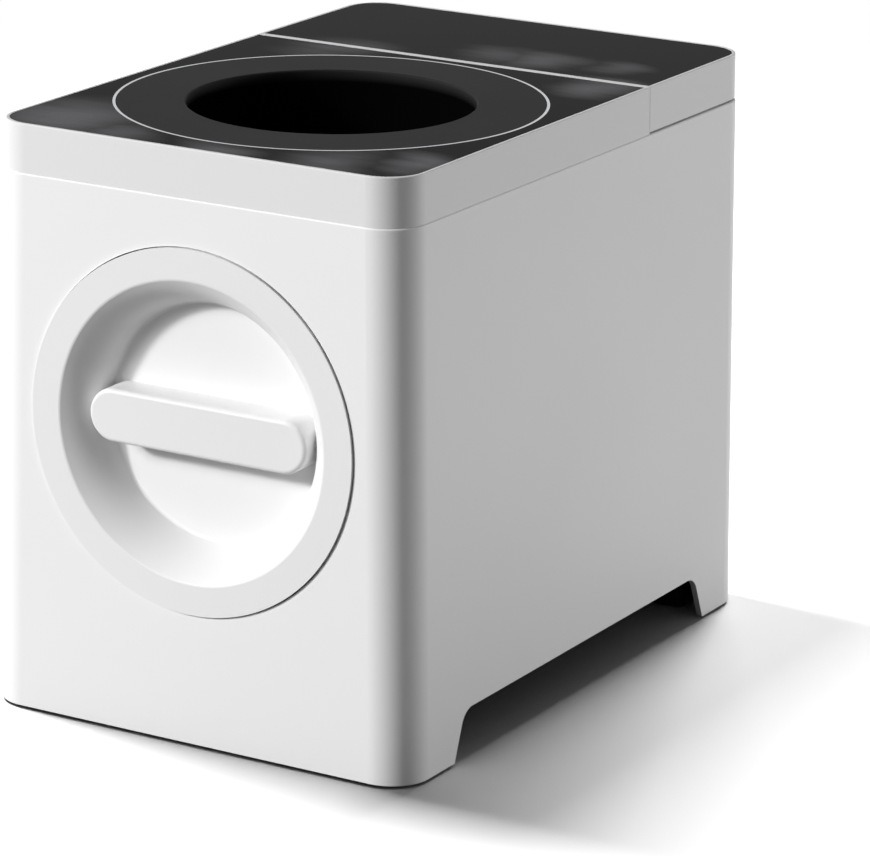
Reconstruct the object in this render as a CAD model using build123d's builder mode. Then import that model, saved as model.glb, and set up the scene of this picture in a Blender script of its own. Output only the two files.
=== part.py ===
from build123d import *

import os
from math import acos, cos, pi, radians, sin, tan

# Electric food waste composter: a counter-top box with a glass top, a round inlet well, and a
# round front door that pulls a horizontal drum out of the housing like a drawer.
#
# Frame: X to the right, Y to the back, Z up, origin on the floor under the middle of the housing.
# Millimetres. Every piece is modelled where it sits with the drawer closed and the cover on.

# --- housing --------------------------------------------------------------------------------
width = 260.0                # across the side walls at the top edge
depth = 392.0
height = 333.0
side_lean = 1.12             # degrees that each side wall leans out towards the floor
corner_radius = 23.0
least_corner = 3.0           # smallest upright corner of anything set in from the housing
wall = 3.5
floor_gap = 1.5              # the shell's lower edge stands this far off the floor
shell_edge_round = 1.2       # rounded top edge of the shell, seen as a light line under the band
fit = 0.3                    # gap between pieces that slide or drop into each other
slack = 0.2                  # radial room of a screw in its clearance hole
snug = 0.1                   # gap between pieces that are pressed, glued or screwed together
join = 1.0                   # how far a feature runs into the body it grows from
notch_top = 28.8             # side notches between the feet
foot_low_length = 51.0       # from the housing's end to the notch, at the floor
foot_high_length = 62.0      # and at the notch's top
notch_round = 12.0

# --- top: band, glass, cover ------------------------------------------------------------------
band_height = 27.0
band_inset = 0.5             # the band is set in from the shell's faces
band_wall = 5.4
band_edge_round = 0.6
tongue_depth = 5.0           # the band's tongue reaches down inside the shell
tongue_wall = 1.9
rim = 2.0                    # white rim round the glass
glass_thickness = 2.8
glass_drop = 0.2             # glass lies this far under the rim's top
deck_thickness = 3.0         # plate that carries the glass
frame_share = 0.6875         # of the depth, up to the line between the front frame and the rear cover
divider_gap = 0.4
cover_gap = 1.2              # dark line between the shell and the rear cover
crossbar = 5.0
cover_seat = 0.3             # the lifted-off cover rests this close to its ledge
scoop_radius = 16.0          # finger scoop in the cover's rear edge
scoop_depth = 8.0

# --- inlet well ---------------------------------------------------------------------------------
collar_share = 0.9077        # of a third of the housing's width and a ninth of its depth
well_lead = 0.6828           # of the room round the collar lies in front of it
collar_width = 38.2          # of the flat ring round the well
neck_wall = 3.2
trim_width = 1.6
deck_ledge = 9.2             # the collar rests on this much of the deck
collar_rib_count = 8
collar_rib_height = 9.0
collar_rib_thickness = 2.5
collar_rib_reach = 24.0
collar_edge_round = 1.0
saddle_seal_thickness = 2.4
seal_gap = 0.3
port_half_width = 28.0       # air port in the back of the neck
port_rise = 0.083            # shares of the height between the saddle and the shell's top
port_height = 0.43
touch_width = 64.0
touch_depth = 13.0
touch_setback = 11.4
touch_corner = 2.0
touch_board_thickness = 1.6
touch_chip_width = 20.0
touch_chip_depth = 6.0
touch_chip_drop = 2.0        # below the deck

# --- drum and drawer ----------------------------------------------------------------------------
axis_share = 0.53273         # height of the drum's front-to-back axis, as a share of the whole
door_margin = 28.4           # from the housing's side to the round door
door_gap = 0.7
door_step = 10.6             # the drum is this much smaller in radius than the door
drum_sheet = 1.5
drum_setback = 35.0          # from the front face to the drum's mouth
drum_length = 189.0
drum_lip_width = 3.5
drum_lip = 1.5
opening_step = 1.0           # the drum's opening is this much smaller in radius than the well
hub_radius = 15.0
hub_length = 5.0
plate_thickness = 3.0
plate_rim_height = 5.0
plate_spigot_wall = 2.5
seal_thickness = 1.5
rail_height = 6.0
rail_reach = 4.5             # how far the drum's rails stand out from its sides
rail_clearance = 0.4
rail_end_gap = 2.0
plate_screw_count = 6
plate_screw_inset = 2.6      # from the edge of the plate
plate_screw_head_radius = 2.2
plate_screw_head_height = 1.6
plate_screw_radius = 1.1

# --- dial -----------------------------------------------------------------------------------------
door_stand_out = 1.5         # the door's face lies this far in front of the housing's
dial_flange = 3.0
skirt_inset = 5.6            # from the door's edge
skirt_wall = 2.5
skirt_depth = 16.0
dish_margin = 17.4           # flat ring round the dish
dish_slope_width = 17.2      # the dish narrows by this much in radius down to its floor
dish_depth = 25.0
dish_bow = 3.0               # the dish's wall bows this far out of a straight cone, towards its hollow
dish_wall = 3.0
dish_floor_round = 2.0
dish_rim_round = 2.0
bar_overhang = 2.0           # the bar's ends reach this far past the dish's floor
bar_height = 30.0
bar_recess = 5.0             # the bar's face lies this far behind the door's face
bar_edge_round = 2.5
bar_screw_spacing = 60.0
bar_screw_length = 9.0
bar_screw_head_radius = 2.8
bar_screw_head_height = 1.2
lug_count = 3
lug_width = 28.0             # degrees
lug_first_angle = 30.0
lug_gap = 0.3                # between the lugs and the door opening
lug_thickness = 4.7
keeper_gap = 37.0            # degrees between two keeper lugs
keeper_lug_reach = 5.7       # how far the keeper's lugs reach in from the door opening
keeper_lug_thickness = 5.5
keeper_face_gap = 2.5        # from the inside of the front wall to the keeper lugs
keeper_depth = 11.5
keeper_width = 10.2
keeper_chamfer = 3.0         # keeps the ring out of the shell's rounded inner corners
lock_clearance = 0.5
keeper_ear_reach = 4.7       # from the ring's edge to the screws in its ears
keeper_boss_radius = 4.5
keeper_ear_radius = 6.0
keeper_boss_height = 6.5

# --- spindle ----------------------------------------------------------------------------------------
spindle_radius = 5.0
running = 0.06               # radial clearance of a shaft in its bush
bush_wall = 3.0
washer_radius = 20.0
washer_thickness = 1.2
clip_radius = 9.0
clip_thickness = 1.2
groove_depth = 1.0           # of the clip's groove in the spindle
spindle_tip = 1.5            # beyond the clip
clip_mouth = 7.0

# --- cradle and frames ------------------------------------------------------------------------------
cradle_sheet = 1.5
cradle_gap = 0.4
cradle_setback = 5.0         # from the drum's mouth
cradle_flange_drop = 16.0    # the cradle's side flanges lie this far under the axis
cradle_flange_margin = 26.0  # from the housing's side
guide_depth = 9.0
guide_gap = 1.0              # from the drum's side to its guides
guide_wall = 2.6
bulkhead_gap = 3.0           # behind the drum's hub
bulkhead_thickness = 3.0
bulkhead_hole_radius = 17.0
bulkhead_drop = 6.0          # from the shell's top edge
bulkhead_side_gap = 1.0
rib_depth = 10.0             # stiffening ribs down the back of the bulkhead
rib_margin = 8.0             # from the bulkhead's edge
rib_end = 30.0               # the ribs stop this far under its top
cable_hole_radius = 8.0
cable_hole_margin = 35.0     # from the housing's side
cable_hole_high_drop = 50.0
cable_hole_low_rise = 56.0
bracket_setback = 6.0        # from the cradle's front edge
bracket_sheet = 2.5
bracket_foot = 16.0
bracket_side_gap = 14.0
bracket_hole_radius = 11.0
bracket_hole_inset = 26.0
heater_thickness = 2.2
heater_half_angle = 55.0
heater_front_margin = 16.0
heater_back_margin = 24.0
thermostat_radius = 9.0
thermostat_height = 7.0
thermostat_tab_reach = 12.0
thermostat_tab_width = 8.0
thermostat_tab_sheet = 1.0
thermostat_tab_drop = 3.0

# --- base -------------------------------------------------------------------------------------------
base_low = 31.0
base_thickness = 3.0
base_rim_height = 7.0
base_rim_inset = 20.0
leg_side_margin = 28.0       # from the housing's side to the middle of each leg
leg_end_margin = 31.0        # and from its end
leg_width = 36.0
leg_depth = 30.0
leg_corner = 6.0
leg_rise = 1.0               # the legs stop this far above the shell's lower edge
foot_radius = 12.0
foot_recess = 2.6
foot_edge_chamfer = 1.2
base_vent_count = 9
base_vent_pitch = 12.0
base_vent_length = 70.0
base_vent_width = 5.0
boss_radius = 6.0
boss_height = 30.0
boss_root = 1.5              # the bosses run this far into the shell's wall
boss_end_margin = 100.0
boss_cap = 8.0               # solid end over each pilot hole
base_screw_length = 14.0
screw_radius = 1.5
screw_head_radius = 3.2
screw_head_height = 2.0

# --- agitator ---------------------------------------------------------------------------------------
shaft_radius = 8.0
journal_radius = 6.0
journal_length = 9.0
tail_length = 8.0
tail_flat = 8.0              # across the tail's two flats
blade_count = 5
blade_pitch = 34.0
blade_shift = 8.0            # the blades sit this far in front of the well's middle
blade_hub_radius = 13.0
blade_hub_length = 16.0
blade_arm_width = 12.0
blade_arm_thickness = 6.0
blade_foot_width = 30.0
blade_foot_thickness = 4.0
blade_foot_angle = 26.0
blade_clearance = 3.0        # from the blade's foot to the drum
blade_pin_radius = 1.8
blade_pin_recess = 1.0

# --- gear train -------------------------------------------------------------------------------------
gear_module = 1.5
pressure_angle = 25.0
backlash = 0.2
output_teeth = 46
small_teeth = 14
large_teeth = 40
pinion_teeth = 14
output_face = 10.0
small_face = 12.0
large_face = 8.0
gear_step = 1.0              # side play between neighbours in the case
bearing_gap = 1.5            # from the front bearing to the output gear
pinion_lap = 0.5             # the pinion stands out this far beyond the gear at each side
motor_swing = 30.0           # degrees from straight down to the motor, seen from the idler
web_recess = 3.0
web_rim = 6.0
hub_wall = 4.0
web_hole_count = 6
web_hole_radius = 5.0
web_hole_circle = 21.0
collar_length = 2.0
case_wall = 2.5
case_depth = 31.0
case_clearance = 3.0
case_ear = 5.0
case_pilot_depth = 12.0
case_screw_length = 10.0
socket_radius = 12.0
socket_depth = 8.6
socket_end_gap = 0.8
bearing_radius = 13.0
rear_bearing_radius = 10.5
bearing_width = 5.0
bearing_wall = 2.5
rear_bearing_wall = 2.0
bearing_lip = 1.0
idler_pin_radius = 5.0
motor_shaft_radius = 4.0
motor_shaft_stub = 6.0
motor_shaft_nose = 3.0
motor_hole_gap = 2.0         # round the shaft in the case's lid
motor_radius = 29.0
motor_can_step = 2.0
motor_length = 58.0
motor_plate = 2.5
motor_plate_trim = 4.0
motor_plate_corner = 8.0
motor_bore_depth = 12.0
motor_tail = 4.0             # boss on the motor's end
motor_tail_radius = 11.6
motor_edge_chamfer = 2.0
case_screw_radius = 1.6

# --- filter, fan and air path -------------------------------------------------------------------------
bay_wall = 2.0
bay_side_margin = 33.0       # from the housing's side to the bay
bay_setback = 10.5           # from the divider to the bay
bay_end_margin = 10.0        # from the bay to the housing's back
bay_rise = 14.6              # from the drum's axis up to the bay's floor
bay_drop = 4.0               # from the shell's top edge down to the bay's flange
bay_flange = 2.3
bay_flange_gap = 0.7         # from the shell's wall
bay_corner = 10.0
case_gap = 1.0               # gap between the filter case and its bay
case_sheet = 2.0
case_drop = 10.0             # from the bay's flange to the filter case's rim
lid_sheet = 2.6
carbon_drop = 24.0           # the carbon's fill line under the case's rim
grille_slots = 12
grille_pitch = 13.0
grille_slot_width = 6.0
grille_margin = 9.0          # from the grille's slots to the case's wall
post_radius = 4.0
post_side_inset = 24.0
post_end_inset = 14.0
seal_rim = 4.0
seal_rim_high = 2.5
fan_margin = 11.0            # from the bay's end walls to the fan's frame
fan_height = 26.0
fan_wall = 2.0
fan_corner = 5.0
fan_lap = 1.0                # the bay's floor laps over the fan's bore
fan_blades = 7
fan_hub_share = 0.42         # of the fan's bore
fan_hub_wall = 2.0
fan_blade_sheet = 1.6
fan_blade_tilt = 38.0        # degrees
fan_tip_gap = 1.2
fan_end_gap = 5.0            # below the blades
fan_top_gap = 2.0
fan_blade_margin = 11.0
fan_boss_height = 4.0
fan_spoke_height = 3.0
fan_spoke_width = 4.0
fan_spoke_count = 4
fan_axle_radius = 2.0
fan_axle_drop = 6.0
fan_cup_height = 11.0
exhaust_depth = 36.0
vent_count = 10
vent_pitch = 7.0
vent_width = 4.0
vent_height = 24.0
duct_wall = 1.6

# --- electrics --------------------------------------------------------------------------------------
socket_side_margin = 46.0
socket_rise = 32.0           # above the base
socket_width = 27.5
socket_height = 20.0
socket_wall = 2.0
socket_corner = 3.0
socket_flange = 5.0
socket_plate = 2.0
socket_length = 22.0
socket_floor = 4.0
socket_stand_out = 1.5       # the inlet's rim lies this far behind the housing
contact_spacing = 14.0
contact_rise = 3.0
contact_width = 2.0
contact_height = 4.0
contact_inset = 4.0          # from the housing's face to the contacts' tips
contact_length = 16.0
board_side_margin = 43.0
board_rise = 78.0
board_width = 56.0
board_height = 104.0
board_sheet = 1.6
board_corner = 2.0
board_standoff = 5.0
standoff_radius = 3.0
standoff_inset = 5.0
component_margin = 8.0
capacitor_radius = 8.0
capacitor_height = 22.0
small_capacitor_radius = 5.0
small_capacitor_height = 14.0
small_capacitor_pitch = 14.0
transformer_width = 22.0
transformer_height = 16.0
heat_sink_width = 10.0
heat_sink_length = 34.0
heat_sink_height = 20.0
connector_length = 40.0
connector_width = 10.0
connector_height = 9.0
connector_rise = 6.0

# --- places worked out from the sizes above ---------------------------------------------------------
front_face = -depth / 2
back_face = depth / 2
front_inside = front_face + wall
back_inside = back_face - wall
shell_top = height - band_height
deck_top = height - glass_drop - glass_thickness
deck_low = deck_top - deck_thickness
cover_low = shell_top + cover_gap
base_top = base_low + base_thickness
frame_length = depth * frame_share
divider_y = front_face + frame_length
axis_height = height * axis_share

collar_radius = (width / 3 + depth / 9) * collar_share
well_radius = collar_radius - collar_width
well_y = front_face + collar_radius + (frame_length - 2 * collar_radius) * well_lead
deck_hole_radius = collar_radius - deck_ledge
neck_radius = well_radius + neck_wall

door_radius = width / 2 - door_margin
drum_radius = door_radius - door_step
drum_inner = drum_radius - drum_sheet
drum_lip_radius = drum_radius + drum_lip_width
drum_front = front_face + drum_setback
drum_back = drum_front + drum_length
hub_back = drum_back + hub_length
saddle_radius = drum_radius + seal_gap + saddle_seal_thickness
neck_height = shell_top - axis_height - saddle_radius
port_low = axis_height + saddle_radius + port_rise * neck_height
port_high = port_low + port_height * neck_height

bulkhead_front = hub_back + bulkhead_gap
bulkhead_back = bulkhead_front + bulkhead_thickness
bulkhead_top = shell_top - bulkhead_drop
cradle_front = drum_front + cradle_setback
bracket_y = cradle_front + bracket_setback

bay_half_width = width / 2 - bay_side_margin
bay_front = divider_y + bay_setback
bay_back = back_face - bay_end_margin
bay_low = axis_height + bay_rise
bay_flange_top = shell_top - bay_drop
case_top = bay_flange_top - case_drop
carbon_top = case_top - carbon_drop
fan_size = bay_back - bay_front - 2 * fan_margin
fan_bore = fan_size / 2 - fan_wall
fan_hub_radius = fan_bore * fan_hub_share
fan_y = (bay_front + bay_back) / 2
exhaust_top = bay_low - fan_height
exhaust_low = exhaust_top - exhaust_depth

door_axis = Axis((0, 0, axis_height), (0, 1, 0))
radial_plane = Plane((0, 0, axis_height), x_dir=(0, 1, 0), z_dir=(1, 0, 0))


def half_width(z):
    """Half the housing's width at height z, where the side walls lean."""
    return width / 2 + (height - z) * tan(radians(side_lean))


def facing(y):
    """Plane across the housing at y. Its sketches are in (x, z), and extrude to the front."""
    return Plane.XZ.offset(-y)


def housing_block(inset, low, high):
    """Solid that follows the housing's leaning sides and round corners, set in by inset."""
    with BuildPart() as block:
        with BuildSketch(facing(back_face - inset)):
            with BuildLine():
                Polyline(
                    (inset - half_width(low), low),
                    (half_width(low) - inset, low),
                    (half_width(high) - inset, high),
                    (inset - half_width(high), high),
                    close=True,
                )
            make_face()
        extrude(amount=depth - 2 * inset)
        upright = block.edges().filter_by(Axis.X, reverse=True).filter_by(Axis.Y, reverse=True)
        fillet(upright, max(corner_radius - inset, least_corner))
    return block.part


def bars(y_front, y_back, radius, centres, mode=Mode.ADD):
    """Round bars along Y, or holes, at (x, z) centres."""
    with BuildSketch(facing(y_back)) as section:
        with Locations(*centres):
            Circle(radius)
    extrude(section.sketch, amount=y_back - y_front, mode=mode)


def posts(z_low, z_high, radius, centres, mode=Mode.ADD):
    """Round posts along Z, or holes, at (x, y) centres."""
    with BuildSketch(Plane.XY.offset(z_low)) as section:
        with Locations(*centres):
            Circle(radius)
    extrude(section.sketch, amount=z_high - z_low, mode=mode)


def slab(x_range, y_range, z_range, mode=Mode.ADD, corner=0):
    """Flat piece or cut between two corners, with its upright edges rounded by corner."""
    size = [b - a for a, b in (x_range, y_range, z_range)]
    middle = ((x_range[0] + x_range[1]) / 2, (y_range[0] + y_range[1]) / 2)
    with BuildSketch(Plane.XY.offset(z_range[0])) as section:
        with Locations(middle):
            if corner:
                RectangleRounded(size[0], size[1], corner)
            else:
                Rectangle(size[0], size[1])
    extrude(section.sketch, amount=size[2], mode=mode)


def on_circle(radius, angles, centre=(0, axis_height)):
    """Points round a centre at angles in degrees."""
    return [
        (centre[0] + radius * cos(radians(a)), centre[1] + radius * sin(radians(a)))
        for a in angles
    ]


def even_angles(count, first=0):
    """Angles of count things spaced evenly round a circle."""
    return [first + 360 * i / count for i in range(count)]


def ring_sector(inner, outer, middle_angle, span):
    """Face of a sector of a ring round the drum's axis, in (x, z)."""
    first = middle_angle - span / 2
    last = middle_angle + span / 2
    points = [
        on_circle(radius, [angle])[0]
        for radius, angle in (
            (inner, first), (outer, first), (outer, middle_angle), (outer, last),
            (inner, last), (inner, middle_angle),
        )
    ]
    with BuildLine() as edge:
        Line(points[0], points[1])
        ThreePointArc(points[1], points[2], points[3])
        Line(points[3], points[4])
        ThreePointArc(points[4], points[5], points[0])
    return make_face(edge.edges())


def gear_outline(teeth, centre, tooth_angle):
    """Points round a spur gear with involute flanks and one tooth centred on tooth_angle."""
    pitch_radius = gear_module * teeth / 2
    base_radius = pitch_radius * cos(radians(pressure_angle))
    root_radius = pitch_radius - 1.25 * gear_module
    tip_radius = pitch_radius + gear_module
    half_tooth = pi / (2 * teeth) - backlash / (2 * pitch_radius)

    def involute(radius):
        angle = acos(base_radius / radius)
        return tan(angle) - angle

    flank = [max(base_radius, root_radius), pitch_radius, tip_radius]
    half_angles = [half_tooth + involute(pitch_radius) - involute(r) for r in flank]
    rising = list(zip(flank, half_angles))
    if base_radius > root_radius:
        rising.insert(0, (root_radius, half_angles[0]))
    points = []
    for tooth in range(teeth):
        middle = radians(tooth_angle) + 2 * pi * tooth / teeth
        for radius, half_angle in rising:
            points.append((radius, middle - half_angle))
        for radius, half_angle in reversed(rising):
            points.append((radius, middle + half_angle))
    return [(centre[0] + r * cos(a), centre[1] + r * sin(a)) for r, a in points]


def gear(teeth, centre, tooth_angle, y_front, y_back):
    """Spur gear along Y."""
    with BuildSketch(facing(y_back)) as section:
        with BuildLine():
            Polyline(*gear_outline(teeth, centre, tooth_angle), close=True)
        make_face()
    extrude(section.sketch, amount=y_back - y_front)


def case_outline(margin):
    """Face round the three gear axes, margin outside the gear tips."""
    rings = (
        (output_centre, output_teeth),
        (idler_centre, large_teeth),
        (motor_centre, pinion_teeth),
    )
    with BuildSketch(Plane.XY) as outline:
        for centre, teeth in rings:
            with Locations(centre):
                Circle(gear_module * (teeth / 2 + 1) + margin)
        make_hull(outline.edges())
    return outline.sketch


# =====================================================================================================
# Base
# =====================================================================================================

leg_x = width / 2 - leg_side_margin
leg_y = depth / 2 - leg_end_margin
boss_y = depth / 2 - boss_end_margin
leg_centres = [(x, y) for x in (-leg_x, leg_x) for y in (-leg_y, leg_y)]
boss_x = half_width(base_top + boss_height / 2) - wall - boss_radius + boss_root
boss_centres = [(x, y) for x in (-boss_x, boss_x) for y in (-boss_y, boss_y)]
leg_low = floor_gap + leg_rise

with BuildPart() as base_tray:
    add(housing_block(wall + fit, base_low, base_top))
    add(housing_block(base_rim_inset, base_top, base_top + base_rim_height))
    add(
        housing_block(base_rim_inset + base_thickness, base_top, base_top + base_rim_height),
        mode=Mode.SUBTRACT,
    )
    for x, y in leg_centres:
        slab(
            (x - leg_width / 2, x + leg_width / 2),
            (y - leg_depth / 2, y + leg_depth / 2),
            (leg_low, base_low),
            corner=leg_corner,
        )
    for y_low, y_high in (
        (bracket_y, bracket_y + bracket_foot),
        (bulkhead_front, bulkhead_back + rib_depth),
    ):
        slab(
            (-width, width), (y_low - fit, y_high + fit), (base_top, base_top + base_rim_height),
            mode=Mode.SUBTRACT,
        )
    posts(leg_low, leg_low + foot_recess, foot_radius + fit, leg_centres, mode=Mode.SUBTRACT)
    posts(base_low, base_top, screw_radius + slack, boss_centres, mode=Mode.SUBTRACT)
    with BuildSketch(Plane.XY.offset(base_low)):
        with GridLocations(0, base_vent_pitch, 1, base_vent_count):
            SlotOverall(base_vent_length, base_vent_width)
    extrude(amount=base_thickness, mode=Mode.SUBTRACT)

with BuildPart() as rubber_feet:
    posts(0, leg_low + foot_recess, foot_radius, leg_centres)
    chamfer(rubber_feet.edges().group_by(Axis.Z)[0], foot_edge_chamfer)

with BuildPart() as base_screws:
    posts(base_low - screw_head_height, base_low, screw_head_radius, boss_centres)
    posts(base_low, base_top + base_screw_length, screw_radius - snug, boss_centres)

# =====================================================================================================
# Outer shell: one moulded wrap with a round door opening, side notches and rear vents
# =====================================================================================================

opening_radius = door_radius + door_gap
keeper_radius = opening_radius + keeper_width
keeper_centres = on_circle(keeper_radius + keeper_ear_reach, even_angles(4, 45))
vent_x = [(i - (vent_count - 1) / 2) * vent_pitch for i in range(vent_count)]
vent_z = exhaust_low + exhaust_depth / 2
socket_x = width / 2 - socket_side_margin
socket_z = base_top + socket_rise
socket_face = back_face + socket_stand_out
socket_floor_y = back_face - socket_length + socket_floor
notch_half_low = depth / 2 - foot_low_length
notch_half_high = depth / 2 - foot_high_length

with BuildPart() as outer_shell:
    add(housing_block(0, floor_gap, shell_top))
    fillet(outer_shell.edges().group_by(Axis.Z)[-1], shell_edge_round)
    add(housing_block(wall, floor_gap, shell_top), mode=Mode.SUBTRACT)
    with BuildSketch(Plane.YZ.offset(-width)) as notch:
        with BuildLine():
            Polyline(
                (-notch_half_low, floor_gap),
                (-notch_half_high, notch_top),
                (notch_half_high, notch_top),
                (notch_half_low, floor_gap),
                close=True,
            )
        make_face()
        fillet(notch.vertices().group_by(Axis.Y)[-1], notch_round)
    extrude(amount=2 * width, mode=Mode.SUBTRACT)
    bars(front_face, front_inside, opening_radius, [(0, axis_height)], mode=Mode.SUBTRACT)
    bars(front_inside, front_inside + keeper_boss_height, keeper_boss_radius, keeper_centres)
    bars(
        front_inside, front_inside + keeper_boss_height, screw_radius, keeper_centres,
        mode=Mode.SUBTRACT,
    )
    posts(base_top + fit, base_top + boss_height, boss_radius, boss_centres)
    posts(base_top, base_top + boss_height - boss_cap, screw_radius, boss_centres, mode=Mode.SUBTRACT)
    with BuildSketch(facing(back_face)):
        with Locations(*[(x, vent_z) for x in vent_x]):
            SlotOverall(vent_height, vent_width, rotation=90)
        with Locations((socket_x, socket_z)):
            RectangleRounded(socket_width + 2 * fit, socket_height + 2 * fit, socket_corner)
    extrude(amount=wall, mode=Mode.SUBTRACT)

with BuildPart() as power_inlet:
    inlet_steps = (
        (back_inside, socket_flange, socket_plate, Mode.ADD),
        (socket_face, 0, socket_face - back_inside + socket_length, Mode.ADD),
        (socket_face, -socket_wall, socket_face - socket_floor_y, Mode.SUBTRACT),
    )
    for y, grow, length, mode in inlet_steps:
        with BuildSketch(facing(y)):
            with Locations((socket_x, socket_z)):
                RectangleRounded(
                    socket_width + 2 * grow, socket_height + 2 * grow, socket_corner + grow / 2,
                )
        extrude(amount=length, mode=mode)
    with BuildSketch(facing(back_face - contact_inset)):
        with Locations(
            (socket_x - contact_spacing / 2, socket_z),
            (socket_x + contact_spacing / 2, socket_z),
            (socket_x, socket_z + contact_rise),
        ):
            Rectangle(contact_width, contact_height)
    extrude(amount=contact_length)

# =====================================================================================================
# Top frame, glass and inlet collar
# =====================================================================================================

frame_back = divider_y - divider_gap / 2
cover_front = divider_y + divider_gap / 2
crossbar_half = half_width(height) - band_inset - rim / 2
glass_inset = band_inset + rim + fit / 2
trim_outer = collar_radius + fit / 2 + trim_width
touch_y = front_face + touch_setback
collar_top = height - glass_drop

with BuildPart() as top_frame:
    add(housing_block(band_inset, shell_top, height))
    fillet(top_frame.edges().group_by(Axis.Z)[-1], band_edge_round)
    add(housing_block(band_inset + band_wall, shell_top, deck_low), mode=Mode.SUBTRACT)
    add(housing_block(band_inset + rim, deck_top, height), mode=Mode.SUBTRACT)
    add(housing_block(wall + fit, shell_top - tongue_depth, shell_top))
    add(
        housing_block(wall + fit + tongue_wall, shell_top - tongue_depth, shell_top),
        mode=Mode.SUBTRACT,
    )
    slab((-crossbar_half, crossbar_half), (frame_back - crossbar, frame_back), (shell_top, deck_low))
    slab((-crossbar_half, crossbar_half), (frame_back - rim, frame_back), (deck_top, height))
    split(bisect_by=facing(frame_back), keep=Keep.TOP)
    posts(deck_low, deck_top, deck_hole_radius, [(0, well_y)], mode=Mode.SUBTRACT)
    slab(
        (-touch_width / 2, touch_width / 2),
        (touch_y - touch_depth / 2, touch_y + touch_depth / 2),
        (deck_low, deck_top),
        mode=Mode.SUBTRACT,
        corner=touch_corner,
    )

with BuildPart() as front_glass:
    add(housing_block(glass_inset, deck_top, deck_top + glass_thickness))
    split(bisect_by=facing(frame_back - rim - fit / 2), keep=Keep.TOP)
    posts(deck_top, height, trim_outer + fit / 2, [(0, well_y)], mode=Mode.SUBTRACT)

with BuildPart() as touch_board:
    slab(
        (-touch_width / 2 + fit, touch_width / 2 - fit),
        (touch_y - touch_depth / 2 + fit, touch_y + touch_depth / 2 - fit),
        (deck_top - touch_board_thickness, deck_top),
        corner=touch_corner - fit,
    )
    slab(
        (-touch_chip_width / 2, touch_chip_width / 2),
        (touch_y - touch_chip_depth / 2, touch_y + touch_chip_depth / 2),
        (deck_low - touch_chip_drop, deck_top - touch_board_thickness),
    )

with BuildPart() as trim_ring:
    posts(deck_top, height - glass_drop / 2, trim_outer, [(0, well_y)])
    posts(deck_top, height, trim_outer - trim_width, [(0, well_y)], mode=Mode.SUBTRACT)

rib_middle = neck_radius + collar_rib_reach / 2 - join

with BuildPart() as inlet_collar:
    posts(deck_top, collar_top, collar_radius, [(0, well_y)])
    posts(axis_height, deck_top, neck_radius, [(0, well_y)])
    with BuildSketch(Plane.XY.offset(deck_top - collar_rib_height)):
        with Locations((0, well_y)):
            with PolarLocations(rib_middle, collar_rib_count, 180 / collar_rib_count):
                Rectangle(collar_rib_reach, collar_rib_thickness)
    extrude(amount=collar_rib_height)
    posts(axis_height, collar_top, well_radius, [(0, well_y)], mode=Mode.SUBTRACT)
    mouth = inlet_collar.edges().filter_by(GeomType.CIRCLE).group_by(Axis.Z)[-1]
    fillet(mouth.sort_by(SortBy.RADIUS)[0], collar_edge_round)
    bars(well_y - collar_radius, bulkhead_front, saddle_radius, [(0, axis_height)], mode=Mode.SUBTRACT)
    slab(
        (-port_half_width, port_half_width),
        (well_y + well_radius / 2, well_y + neck_radius),
        (port_low, port_high),
        mode=Mode.SUBTRACT,
    )

with BuildPart() as collar_seal:
    posts(axis_height, axis_height + saddle_radius, neck_radius, [(0, well_y)])
    posts(axis_height, axis_height + saddle_radius, well_radius, [(0, well_y)], mode=Mode.SUBTRACT)
    bars(well_y - neck_radius, bulkhead_front, saddle_radius, [(0, axis_height)], mode=Mode.INTERSECT)
    bars(
        well_y - neck_radius,
        bulkhead_front,
        saddle_radius - saddle_seal_thickness,
        [(0, axis_height)],
        mode=Mode.SUBTRACT,
    )

# =====================================================================================================
# Keeper ring, cradle and frames round the drum
# =====================================================================================================

lug_angles = even_angles(lug_count, lug_first_angle)
keeper_angles = even_angles(lug_count, lug_first_angle + 180 / lug_count)
keeper_lug_radius = opening_radius - keeper_lug_reach
keeper_span = 360 / lug_count - keeper_gap
keeper_lug_front = front_inside + keeper_face_gap
keeper_lug_back = keeper_lug_front + keeper_lug_thickness

with BuildPart() as keeper_ring:
    bars(front_inside, front_inside + keeper_depth, keeper_radius, [(0, axis_height)])
    chamfer(keeper_ring.edges().group_by(Axis.Y)[0], keeper_chamfer)
    bars(
        front_inside + keeper_boss_height,
        front_inside + keeper_depth,
        keeper_ear_radius,
        keeper_centres,
    )
    bars(
        front_inside, front_inside + keeper_depth, opening_radius, [(0, axis_height)],
        mode=Mode.SUBTRACT,
    )
    bars(
        front_inside, front_inside + keeper_depth, screw_radius + slack, keeper_centres,
        mode=Mode.SUBTRACT,
    )
    with BuildSketch(facing(keeper_lug_back)):
        for angle in keeper_angles:
            add(ring_sector(keeper_lug_radius, opening_radius + join, angle, keeper_span))
    extrude(amount=keeper_lug_thickness)

with BuildPart() as keeper_screws:
    keeper_back = front_inside + keeper_depth
    bars(keeper_back, keeper_back + screw_head_height, screw_head_radius, keeper_centres)
    bars(front_inside + fit, keeper_back, screw_radius - snug, keeper_centres)

cradle_inner = drum_radius + cradle_gap
cradle_outer = cradle_inner + cradle_sheet
flange_top = axis_height - cradle_flange_drop
cradle_flange_reach = width / 2 - cradle_flange_margin

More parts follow.
